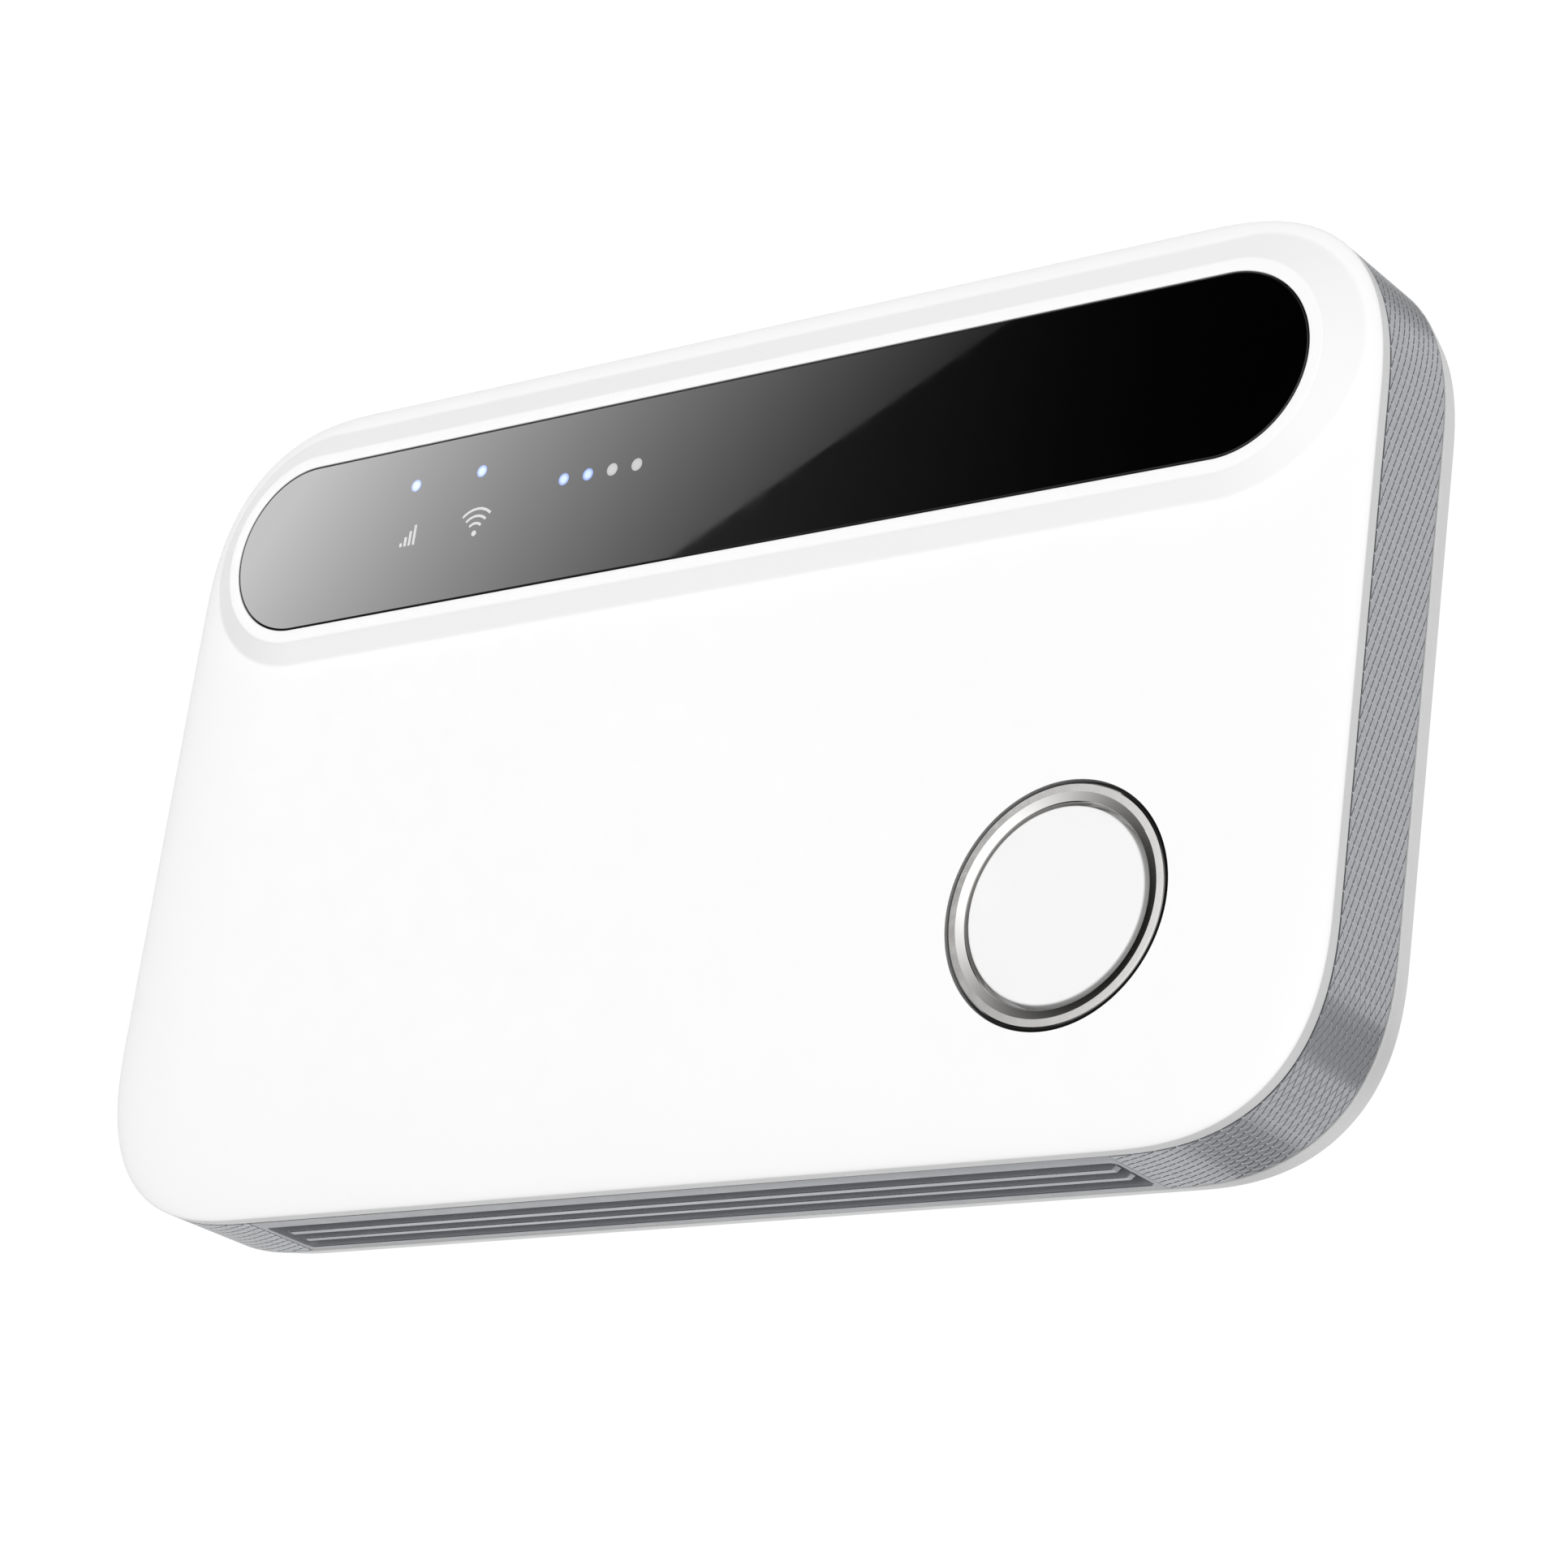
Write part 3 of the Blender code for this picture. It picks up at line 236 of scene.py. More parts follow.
class Nodes:
    """A material's node tree, with a Principled shader that is ready to be wired."""

    def __init__(self, name, colour=(0.8, 0.8, 0.8), roughness=0.5, metallic=0.0, **more):
        self.material = bpy.data.materials.new(name)
        self.material.use_nodes = True
        self.tree = self.material.node_tree
        self.shader = self.tree.nodes["Principled BSDF"]
        self.set("Base Color", (*colour, 1.0))
        self.set("Roughness", roughness)
        self.set("Metallic", metallic)
        for socket, value in more.items():
            self.set(socket.replace("_", " "), value)
        self.place = self.tree.nodes.new("ShaderNodeTexCoord").outputs["Object"]

    def set(self, socket, value):
        self.shader.inputs[socket].default_value = value

    def wire(self, output, node, socket):
        self.tree.links.new(output, node.inputs[socket])

    def noise(self, scale, detail=3.0, roughness=0.55, stretch=(1.0, 1.0, 1.0)):
        """Noise with scale patches to the millimetre."""
        mapping = self.tree.nodes.new("ShaderNodeMapping")
        mapping.inputs["Scale"].default_value = [scale / MM * factor for factor in stretch]
        self.wire(self.place, mapping, "Vector")
        node = self.tree.nodes.new("ShaderNodeTexNoise")
        node.inputs["Scale"].default_value = 1.0
        node.inputs["Detail"].default_value = detail
        node.inputs["Roughness"].default_value = roughness
        self.wire(mapping.outputs["Vector"], node, "Vector")
        return node.outputs["Fac"]

    def cells(self, scale, feature="F1", output="Distance", randomness=1.0):
        mapping = self.tree.nodes.new("ShaderNodeMapping")
        mapping.inputs["Scale"].default_value = [scale / MM] * 3
        self.wire(self.place, mapping, "Vector")
        node = self.tree.nodes.new("ShaderNodeTexVoronoi")
        node.feature = feature
        node.inputs["Scale"].default_value = 1.0
        node.inputs["Randomness"].default_value = randomness
        self.wire(mapping.outputs["Vector"], node, "Vector")
        return node.outputs[output]

    def spread(self, value, low, high, start=0.0, end=1.0):
        return remap(self.tree, value, (start, end), (low, high)).outputs["Result"]

    def colours(self, value, *stops):
        """A colour ramp over (place, colour) stops."""
        node = self.tree.nodes.new("ShaderNodeValToRGB")
        ramp = node.color_ramp
        for index, (place, colour) in enumerate(stops):
            stop = ramp.elements[index] if index < 2 else ramp.elements.new(place)
            stop.position = place
            stop.color = (*colour, 1.0)
        self.wire(value, node, "Fac")
        return node.outputs["Color"]

    def colour(self, value, *stops):
        self.wire(self.colours(value, *stops), self.shader, "Base Color")
        return self

    def rough(self, value, low, high, start=0.3, end=0.7):
        self.wire(self.spread(value, low, high, start, end), self.shader, "Roughness")
        return self

    def bump(self, value, height_mm, strength=1.0):
        node = self.tree.nodes.new("ShaderNodeBump")
        node.inputs["Strength"].default_value = strength
        node.inputs["Distance"].default_value = height_mm * MM
        self.wire(value, node, "Height")
        self.wire(node.outputs["Normal"], self.shader, "Normal")
        return self


def shade(colour, factor):
    return tuple(min(1.0, channel * factor) for channel in colour)


def moulded(name, colour, roughness, grain_height=0.004, grain=4.0, spread=0.03, **more):
    """Moulded plastic: a fine etched grain, faint flow marks in the colour, uneven gloss."""
    nodes = Nodes(name, colour, roughness, **more)
    flow = nodes.noise(0.045, 4.0, stretch=(1.0, 0.6, 1.0))
    nodes.colour(flow, (0.3, shade(colour, 1 - spread)), (0.7, colour))
    nodes.rough(nodes.noise(0.6, 3.0), roughness - 0.05, roughness + 0.07)
    nodes.bump(nodes.noise(grain, 2.0), grain_height, 0.6)
    return nodes.material


def brushed(name, colour, roughness, stretch=(0.05, 1.0, 1.0), height=0.002):
    """Rolled or brushed sheet metal: streaks along one way, and stains in the gloss."""
    nodes = Nodes(name, colour, roughness, 1.0)
    streaks = nodes.noise(6.0, 3.0, stretch=stretch)
    nodes.colour(nodes.noise(0.12, 4.0), (0.35, shade(colour, 0.86)), (0.7, colour))
    nodes.rough(streaks, roughness - 0.08, roughness + 0.12)
    nodes.bump(streaks, height, 0.5)
    return nodes.material


def painted_silver(name, colour, roughness, metallic=0.8):
    """Metallic paint: flakes that differ a little in brightness and in tilt."""
    nodes = Nodes(name, colour, roughness, metallic)
    flakes = nodes.cells(18.0, output="Color")
    single = nodes.tree.nodes.new("ShaderNodeSeparateColor")
    nodes.wire(flakes, single, "Color")
    flake = single.outputs["Red"]
    nodes.colour(flake, (0.0, shade(colour, 0.92)), (0.55, colour), (1.0, shade(colour, 1.07)))
    nodes.rough(nodes.noise(0.8, 3.0), roughness - 0.04, roughness + 0.06)
    nodes.bump(flake, 0.002, 0.15)
    return nodes.material


def chrome():
    colour = (0.76, 0.745, 0.73)
    nodes = Nodes("bright_chrome", colour, 0.05, 1.0)
    nodes.colour(nodes.noise(0.3, 3.0), (0.3, shade(colour, 0.95)), (0.7, colour))
    nodes.rough(nodes.noise(1.5, 4.0), 0.035, 0.075)
    nodes.bump(nodes.noise(0.8, 2.0), 0.0015, 0.25)
    return nodes.material


def smoked_lens():
    nodes = Nodes("smoked_lens", (0.0005, 0.0005, 0.0006), 0.02)
    nodes.colour(nodes.noise(0.05, 2.0), (0.3, (0.0004, 0.0004, 0.0005)), (0.7, (0.0008, 0.0008, 0.0009)))
    nodes.rough(nodes.noise(0.4, 4.0), 0.012, 0.03)
    nodes.bump(nodes.noise(0.05, 1.0), 0.003, 0.2)
    return nodes.material


def circuit_board():
    nodes = Nodes("green_board", (0.02, 0.16, 0.08), 0.4)
    lanes = nodes.cells(0.9, "DISTANCE_TO_EDGE")
    mask = nodes.spread(lanes, 0.0, 1.0, 0.02, 0.06)
    nodes.colour(mask, (0.0, (0.05, 0.26, 0.12)), (0.6, (0.015, 0.13, 0.06)), (1.0, (0.02, 0.16, 0.08)))
    nodes.rough(nodes.noise(1.5, 3.0), 0.33, 0.5)
    nodes.bump(mask, 0.01, 0.5)
    return nodes.material


def soft_foam(name, colour):
    nodes = Nodes(name, colour, 0.95)
    pore_depth_and_shade = nodes.cells(4.5)
    # darker down in each pore and lighter on the rims between, from the same pattern as the bump: painted
    # shade and painted highlight
    nodes.colour(pore_depth_and_shade, (0.0, shade(colour, 0.55)), (0.5, colour), (1.0, shade(colour, 1.15)))
    nodes.rough(nodes.noise(2.0), 0.88, 1.0)
    nodes.bump(pore_depth_and_shade, 0.06, 0.8)
    return nodes.material


def light_dot(name, core, edge, strength):
    """A status light as it shows through the smoked window: brighter in its middle. Unlit dots glow grey
    through it as well, which is painted light.
    """
    nodes = Nodes(name, (0.02, 0.02, 0.025), 0.05)
    length = vector_value(nodes.tree, "LENGTH", nodes.place)
    radius = nodes.spread(length, 0.0, 1.0, 0.0, DOT_RADIUS * MM)
    glow = nodes.colours(radius, (0.0, core), (0.45, core), (1.0, edge))
    nodes.wire(glow, nodes.shader, "Emission Color")
    nodes.set("Emission Strength", strength)
    return nodes.material


WHITE = (0.80, 0.80, 0.80)
SILVER = (0.44, 0.45, 0.47)
LOOK = {
    "white": moulded("white_plastic", WHITE, 0.42, spread=0.012),
    "cap": moulded("white_cap", shade(WHITE, 0.94), 0.38, spread=0.01),
    "lens": smoked_lens(),
    "chrome": chrome(),
    # near black for a sleeve and floor in the gap round the button's ring: painted shade of the gap
    "gap_shade": moulded("black_gap_shade", (0.004, 0.004, 0.004), 0.6),
    "silver": painted_silver("silver_paint", SILVER, 0.27),
    # the band's silver darkened on the smooth flush panels: painted shade, as they wear the same paint as the
    # cells
    "strip": painted_silver("silver_strip", shade(SILVER, 0.82), 0.3),
    # the band's silver darkened for the ring under the knurl: painted shade in the grooves between the cells
    # and on the seam chamfers
    "groove": painted_silver("groove_painted_shade", shade(SILVER, 0.42), 0.4, 0.7),
    # dark grey for the grille's recess and the ribs' upper and lower walls: painted shade
    "grille": painted_silver("grille_recess_painted_shade", (0.34, 0.345, 0.365), 0.5, 0.1),
    "black": moulded("black_plastic", (0.028, 0.028, 0.03), 0.48, grain_height=0.008, spread=0.15),
    "tape": soft_foam("black_tape", (0.03, 0.03, 0.03)),
    "board": circuit_board(),
    "steel": brushed("plated_steel", (0.62, 0.62, 0.60), 0.3),
    "chip": moulded("chip_epoxy", (0.035, 0.035, 0.04), 0.55, grain_height=0.006, grain=9.0, spread=0.2),
    "ferrite": moulded("ferrite", (0.12, 0.12, 0.13), 0.7, grain_height=0.01, grain=8.0, spread=0.15),
    "capacitor": moulded("ceramic_body", (0.50, 0.36, 0.23), 0.6, spread=0.1),
    "pad": soft_foam("grey_foam", (0.30, 0.31, 0.33)),
    "led": moulded("led_lens", (0.80, 0.84, 0.78), 0.3, spread=0.05),
    "brass": brushed("gold_plate", (0.83, 0.62, 0.28), 0.28),
    "battery": moulded("battery_wrap", (0.05, 0.05, 0.056), 0.42, grain_height=0.01, grain=1.2, spread=0.2),
    "card": moulded("card_plastic", (0.80, 0.80, 0.78), 0.35),
    "print": moulded("light_print", (0.62, 0.62, 0.62), 0.35),
    "lit": light_dot("lit_dot", (0.55, 0.72, 1.0), (0.10, 0.19, 0.62), 1.0),
    # the unlit dots glow grey too: painted light, since the light behind them is off
    "unlit": light_dot("unlit_dot_painted_glow", (0.48, 0.48, 0.47), (0.40, 0.40, 0.40), 1.0),
}


# ------------------------------------------------------------- mesh helpers


def new_object(name, data):
    obj = bpy.data.objects.new(name, data)
    bpy.context.scene.collection.objects.link(obj)
    return obj


def add_mesh(name, points, faces, look, body, slot, replaced=(), smooth=35.0):
    """One piece from points in millimetres, riding on a body."""
    mesh = bpy.data.meshes.new(name)
    mesh.from_pydata([tuple(point) for point in np.asarray(points) * MM], [], faces)
    return add_piece(name, mesh, look, body, replaced, smooth)


def add_piece(name, mesh, look, body, replaced=(), smooth=35.0):
    """One piece from a mesh; a piece with no body yet is cut further and placed by settle."""
    tidy = bmesh.new()
    tidy.from_mesh(mesh)
    bmesh.ops.dissolve_degenerate(tidy, dist=1e-8, edges=tidy.edges)
    bmesh.ops.recalc_face_normals(tidy, faces=tidy.faces)
    tidy.to_mesh(mesh)
    tidy.free()
    mesh.shade_smooth()
    mesh.set_sharp_from_angle(angle=math.radians(smooth))
    obj = new_object(name, mesh)
    mesh.materials.append(LOOK[look])
    if body:
        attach(obj, body)
    if replaced:
        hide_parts(*replaced)
    return obj


def settle(obj, body, replaced):
    """Shades a piece again after its Booleans, and places it on its body."""
    obj.data.shade_smooth()
    obj.data.set_sharp_from_angle(angle=math.radians(35.0))
    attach(obj, body)
    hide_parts(replaced)


def skin(loops, close=True):
    """Points and faces of a skin over loops that all have the same number of points."""
    count = len(loops[0])
    points = np.concatenate(loops)
    faces = []
    for row in range(len(loops) - 1):
        low = row * count
        for index in range(count):
            after = (index + 1) % count
            faces.append((low + index, low + after, low + count + after, low + count + index))
    if close:
        faces.append(tuple(range(count))[::-1])
        faces.append(tuple((len(loops) - 1) * count + index for index in range(count)))
    return points, faces


def outline_xy(inset, corner_steps=CORNER_STEPS):
    """The casing's plan outline, drawn in by inset: superellipse corners and straight sides."""
    radius = CORNER - inset
    turns = np.linspace(0, math.pi / 2, corner_steps + 1)
    arc_x = radius * np.cos(turns) ** (2 / CORNER_POWER)
    arc_y = radius * np.sin(turns) ** (2 / CORNER_POWER)
    centre = (HALF_X - CORNER, HALF_Y - CORNER)
    corners = []
    for side_x, side_y in ((1, 1), (-1, 1), (-1, -1), (1, -1)):
        order = slice(None) if side_x * side_y > 0 else slice(None, None, -1)
        corners.append(np.column_stack((side_x * (centre[0] + arc_x), side_y * (centre[1] + arc_y)))[order])
    full = []
    for index, corner in enumerate(corners):
        full.append(corner)
        following = corners[(index + 1) % 4][0]
        steps = round(np.hypot(*(following - corner[-1])) / STRAIGHT_STEP)
        inner = np.linspace(0, 1, steps + 1)[1:-1, None]
        full.append(corner[-1] * (1 - inner) + following * inner)
    return np.concatenate(full)


def outline(inset, z):
    return lift(outline_xy(inset), z)


def lift(points, z):
    """Plan points with a height, which may be one number or one for each point."""
    return np.column_stack((points, np.broadcast_to(z, len(points))))


def turned(profile, centre, steps=128):
    """Circles about a centre, one for each (radius, height) of the profile."""
    angles = np.linspace(0, 2 * math.pi, steps, endpoint=False)
    unit = np.column_stack((np.cos(angles), np.sin(angles)))
    return [lift(unit * radius + centre[:2], z) for radius, z in profile]


def stadium(radius, z, steps=48, middle_y=WINDOW_Y, spine=SPINE):
    """Two straight sides along X, as long as the spine either way, and round ends."""
    angles = np.linspace(-math.pi / 2, math.pi / 2, steps + 1)
    points = []
    for side in (1, -1):
        x = side * (spine + radius * np.cos(angles))
        points.append(np.column_stack((x, middle_y + side * radius * np.sin(angles))))
    return lift(np.concatenate(points), z)


def rounded_box(low, high, edge, steps=3):
    """A box between two corners, with all its edges rounded unless edge is 0."""
    builder = bmesh.new()
    bmesh.ops.create_cube(builder, size=1.0)
    low, high = np.array(low), np.array(high)
    for vertex in builder.verts:
        vertex.co = Vector(((np.array(vertex.co) + 0.5) * (high - low) + low) * MM)
    if edge:
        bmesh.ops.bevel(
            builder, geom=builder.edges[:], offset=edge * MM, segments=steps, profile=0.5, affect="EDGES"
        )
    mesh = bpy.data.meshes.new("rounded_box")
    builder.to_mesh(mesh)
    builder.free()
    return mesh


def boolean(obj, tool_mesh, operation="DIFFERENCE"):
    """Cuts a mesh out of obj, or joins it on, and keeps the result in obj's own mesh."""
    tool = new_object("tool", tool_mesh)
    modifier = obj.modifiers.new("boolean", "BOOLEAN")
    modifier.operation = operation
    modifier.solver = "EXACT"
    modifier.object = tool
    bpy.context.view_layer.update()
    result = bpy.data.meshes.new_from_object(obj.evaluated_get(bpy.context.evaluated_depsgraph_get()))
    obj.modifiers.clear()
    obj.data = result
    bpy.data.objects.remove(tool)


def mesh_of(points, faces):
    """A mesh from points in millimetres, with its faces turned outwards."""
    mesh = bpy.data.meshes.new("tool")
    mesh.from_pydata([tuple(point) for point in np.asarray(points) * MM], [], faces)
    builder = bmesh.new()
    builder.from_mesh(mesh)
    bmesh.ops.recalc_face_normals(builder, faces=builder.faces)
    builder.to_mesh(mesh)
    builder.free()
    return mesh


def welded(loops):
    """A mesh through loops that come round to the first one, as a ring's section does."""
    mesh = mesh_of(*skin([*loops, loops[0]], close=False))
    merge = bmesh.new()
    merge.from_mesh(mesh)
    bmesh.ops.remove_doubles(merge, verts=merge.verts, dist=1e-7)
    merge.to_mesh(mesh)
    merge.free()
    return mesh


def cylinder(radius, low_z, high_z, centre):
    return mesh_of(*skin(turned(((radius, low_z), (radius, high_z)), centre)))


def joined(meshes):
    """One mesh that holds them all."""
    builder = bmesh.new()
    for mesh in meshes:
        builder.from_mesh(mesh)
    mesh = bpy.data.meshes.new("joined")
    builder.to_mesh(mesh)
    builder.free()
    return mesh


def quarter(start, end, steps=4):
    """Points on a quarter ellipse from start to end, which leaves start along the first axis."""
    angles = np.linspace(0, math.pi / 2, steps + 1)
    return [
        (start[0] + (end[0] - start[0]) * math.sin(a), start[1] + (end[1] - start[1]) * (1 - math.cos(a)))
        for a in angles
    ]


# ------------------------------------------------------------------- casing


def inset_at(xy):
    """How far in from the outline a plan point lies."""
    away = np.abs(xy) - (HALF_X - CORNER, HALF_Y - CORNER)
    inside = CORNER - away.max(axis=1)
    positive = np.clip(away, 1e-9, None)
    rounded = CORNER - (positive**CORNER_POWER).sum(axis=1) ** (1 / CORNER_POWER)
    return np.where((away > 0).all(axis=1), rounded, inside)


def crown_z(xy):
    share = np.clip(inset_at(xy) / CROWN_RUN, 0, 1)
    return CREASE_Z + (FACE_Z - CREASE_Z) * np.sqrt(1 - (1 - share) ** 2)


def spine_place(xy):
    """Each plan point's nearest place on the window's spine, and the way out from it."""
    nearest = np.column_stack((np.clip(xy[:, 0], -SPINE, SPINE), np.full(len(xy), WINDOW_Y)))
    away = xy - nearest
    return nearest, away / np.linalg.norm(away, axis=1)[:, None]


def face_z(xy):
    """The front face: the crown, and the window's skirt where it stands higher."""
    nearest, _ = spine_place(xy)
    distance = np.linalg.norm(xy - nearest, axis=1)
    skirt = RIM_Z - (distance - RIM_RADIUS) / SKIRT_SLOPE
    crown = crown_z(xy)
    mix = np.clip(SKIRT_SOFTNESS - np.abs(skirt - crown), 0, None) / SKIRT_SOFTNESS
    return np.maximum(skirt, crown) + mix**2 * SKIRT_SOFTNESS / 4


def front_shell():
    """The shell from its inner ceiling out round the seam, over the crown and into the window."""
    seam_z = BAND_Z[1] + SEAM_GAP
    loops = [outline(TONGUE_INSET[1], CEILING_Z), outline(TONGUE_INSET[1], TONGUE_FOOT_Z)]
    loops += [outline(TONGUE_INSET[0], TONGUE_FOOT_Z), outline(TONGUE_INSET[0], seam_z)]
    loops += [outline(inset, z) for inset, z in quarter((EDGE, seam_z), (0.0, seam_z + EDGE))]
    loops += [outline(0.0, seam_z + 0.4), outline(0.0, CREASE_Z - 0.02)]
    for inset in CROWN_EDGE:
        edge = outline_xy(inset)
        loops.append(lift(edge, crown_z(edge)))
    skirt_start = RIM_RADIUS + SKIRT_RUN
    nearest, out = spine_place(edge)
    start = nearest + out * skirt_start
    for share in np.linspace(0, 1, 30)[1:] ** 1.9:
        plan = edge * (1 - share) + start * share
        loops.append(lift(plan, face_z(plan)))
    for radius in np.linspace(skirt_start, RIM_RADIUS + 0.14, 26)[1:]:
        plan = nearest + out * radius
        loops.append(lift(plan, face_z(plan)))
    for radius, drop in ((0.06, 0.02), (-0.03, 0.003), (-0.12, 0.0), (-0.45, 0.0)):
        loops.append(lift(nearest + out * (RIM_RADIUS + radius), RIM_Z - drop))
    pocket = LENS_RADIUS + POCKET_GAP
    for radius, drop in ((0.08, 0.0), (0.03, 0.012), (0.0, 0.05), (0.0, RIM_Z - POCKET_FLOOR_Z)):
        loops.append(lift(nearest + out * (pocket + radius), RIM_Z - drop))
    shell = add_mesh("shell_front", *skin(loops), "white", None, "white")
    boolean(shell, cylinder(HOLE_RADIUS, HOLE_FOOT_Z, RIM_Z, BUTTON))
    boolean(shell, cylinder(RING_RADIUS - RING_WALL, CEILING_Z - 1, HOLE_LEDGE_Z, BUTTON))
    settle(shell, "main_unit", "front_shell")


def back_cover():
    """The cover from its floor up the wall, round the seam, down the lip and over to the back."""
    seam_z = BAND_Z[0] - SEAM_GAP
    loops = [outline(COVER_FLOOR_INSET, COVER_FLOOR_Z), outline(*COVER_HAUNCH)]
    loops += [outline(COVER_WALL, COVER_WALL_FOOT_Z)]
    loops += [outline(COVER_WALL, seam_z - 0.15), outline(COVER_WALL + 0.1, seam_z)]
    loops += [outline(inset, z) for inset, z in quarter((EDGE * 2, seam_z), (0.0, seam_z - EDGE * 2))]
    foot_inset, foot_z = LIP_FOOT
    for share in (0.12, 0.3, 0.5, 0.7, 0.85):
        loops.append(outline(foot_inset * share**1.15, seam_z + (foot_z - seam_z) * share))
    for share in np.linspace(0, 1, 7):
        loops.append(outline(foot_inset + LIP_CURL[0] * share**1.6, foot_z - LIP_CURL[1] * share**0.75))
    roll_inset, roll_z = foot_inset + LIP_CURL[0], foot_z - LIP_CURL[1]
    run = (BACK_ROLL_RUN - roll_inset) / (1 - math.cos(math.pi / 2 - ROLL_START))
    for angle in np.linspace(ROLL_START, math.pi / 2, 12)[1:]:
        share = (math.sin(angle) - math.sin(ROLL_START)) / (1 - math.sin(ROLL_START))
        inset = roll_inset + run * (1 - math.cos(angle - ROLL_START))
        loops.append(outline(inset, roll_z * (1 - share)))
    loops.append(outline(BACK_FLAT_INSET, 0.0))
    cover = add_mesh("shell_back", *skin(loops), "white", None, "white")
    boolean(cover, finger_notch(seam_z))
    for foot, inward in TABS:
        boolean(cover, clip_tab(foot, inward), "UNION")
    settle(cover, "back_cover", "back_cover")


def finger_notch(seam_z):
    """A cylinder along X that cuts a shallow scoop into the left wall's edge."""
    angles = np.linspace(0, 2 * math.pi, NOTCH_STEPS, endpoint=False)
    y = NOTCH_Y + NOTCH_RADIUS * np.cos(angles)
    z = seam_z + NOTCH_RADIUS - NOTCH_DEPTH + NOTCH_RADIUS * np.sin(angles)
    loops = [np.column_stack((np.full(NOTCH_STEPS, -HALF_X + past), y, z)) for past in (-1, 1)]
    return mesh_of(*skin(loops))


def clip_tab(foot, inward):
    """An L-shaped clip with a hooked tip, by the wall at foot."""
    inward = np.array(inward)
    along = np.array((-inward[1], inward[0]))
    loops = []
    for run in (-TAB_WIDTH / 2, TAB_WIDTH / 2):
        loops.append(np.array([(*(foot + inward * inset + along * run), z) for inset, z in TAB_PROFILE]))
    return mesh_of(*skin(loops))


# --------------------------------------------------------------------- band


class Path:
    """The band's outline by arc length, with its outward normals."""

    def __init__(self):
        points = outline_xy(0.0, FINE_CORNER_STEPS)
        self.points = np.vstack((points, points[:1]))
        steps = np.hypot(*np.diff(self.points, axis=0).T)
        self.along = np.concatenate(([0.0], np.cumsum(steps)))
        self.length = self.along[-1]

    def on_line(self, run):
        run = np.mod(run, self.length)
        return np.array([np.interp(run, self.along, axis) for axis in self.points.T])

    def at(self, run, inset):
        """Plan points at arc lengths, drawn in along the normal."""
        x, y = self.on_line(run)
        dx, dy = self.on_line(run + PATH_REACH) - self.on_line(run - PATH_REACH)
        size = np.hypot(dx, dy)
        return np.column_stack((x - inset * dy / size, y + inset * dx / size))


def band_core():
    """The ring under the knurl, with flush panels for the grille and the ports. Its own colour is the band's
    silver darkened: painted shade in the grooves between the cells and along the seam chamfers.
    """
    low_z, high_z = BAND_Z
    deep = KNURL_DEPTH
    wide, tall = BAND_EDGE
    rings = ((BAND_WALL, low_z), (deep + wide, low_z), (deep, low_z + tall), (deep, high_z - tall))
    rings += ((deep + wide, high_z), (BAND_WALL, high_z))
    core = add_piece("band_ring", welded([outline(*ring) for ring in rings]), "groove", None)
    # slot 1: the flush panels' darker silver, painted shade
    core.data.materials.append(LOOK["strip"])
    # slot 2: the grille recess's dark grey, painted shade
    core.data.materials.append(LOOK["grille"])
    return core


def knurl_cells(path):
    """Leaf-shaped raised cells in staggered rows round the band, except on the smooth panels."""
    low_z, high_z = CELL_Z
    half_w = CELL_ACROSS / 2
    columns = round((high_z - low_z) / CELL_ACROSS)
    rows = 2 * round(path.length / CELL_ALONG)
    half_l = path.length / rows
    side = math.hypot(half_w, half_l)
    top = leaf(half_w - CELL_GROOVE * side / half_l, half_l - CELL_GROOVE * side / half_w, CELL_BULGE)
    foot = leaf(half_w - CELL_FOOT_GAP[0], half_l - CELL_FOOT_GAP[1], 0.0)
    count = len(foot)
    points, faces = [], []
    for row in range(rows):
        run = row * half_l
        middle = path.at(np.array([run]), 0.0)[0]
        if on_panel(middle, half_l - 0.1):
            continue
        for column in range(columns + 1):
            centre_z = low_z + (column + (0.5 if row % 2 else 0.0)) * (high_z - low_z) / columns
            if centre_z > high_z + 0.01:
                continue
            start = len(points)
            for shape, inset in ((foot, KNURL_DEPTH + 0.01), (top, 0.0)):
                z = np.clip(centre_z + shape[:, 0], low_z, high_z)
                points.extend(lift(off_panel(path.at(run + shape[:, 1], inset), middle), z))
            points.append((*off_panel(middle[None], middle)[0], np.clip(centre_z, low_z, high_z)))
            for index in range(count):
                after = (index + 1) % count
                faces.append((start + index, start + after, start + count + after, start + count + index))
                faces.append((start + count + index, start + count + after, start + 2 * count))
            faces.append(tuple(start + index for index in range(count))[::-1])
    return add_mesh("knurl_cells", points, faces, "silver", "main_unit", "silver_paint", smooth=30.0)


def leaf(half_w, half_l, bulge):
    """A leaf outline as (across, along) points: a rhomb whose sides bow out."""
    corners = ((half_w, 0.0), (0.0, half_l), (-half_w, 0.0), (0.0, -half_l))
    sides = ((1, 1), (-1, 1), (-1, -1), (1, -1))
    points = []
    for corner, (side, end) in zip(corners, sides):
        points += [corner, (side * half_w * (0.5 + bulge), end * half_l * 0.5)]
    return np.array(points)


def panel_range(middle):
    """The run along X of the smooth panel on a point's side, if it's on a side that has one."""
    if middle[1] < -HALF_Y + 0.3:
        return GRILLE_PANEL_X[0] - PANEL_GAP, GRILLE_PANEL_X[1] + PANEL_GAP
    if middle[1] > HALF_Y - 0.3:
        return PORT_PANEL_X[0] - PANEL_GAP, PORT_PANEL_X[1] + PANEL_GAP
    return None


def on_panel(middle, margin):
    """True if a cell's middle lies deeper than margin inside a smooth panel."""
    reach = panel_range(middle)
    return bool(reach) and reach[0] + margin < middle[0] < reach[1] - margin


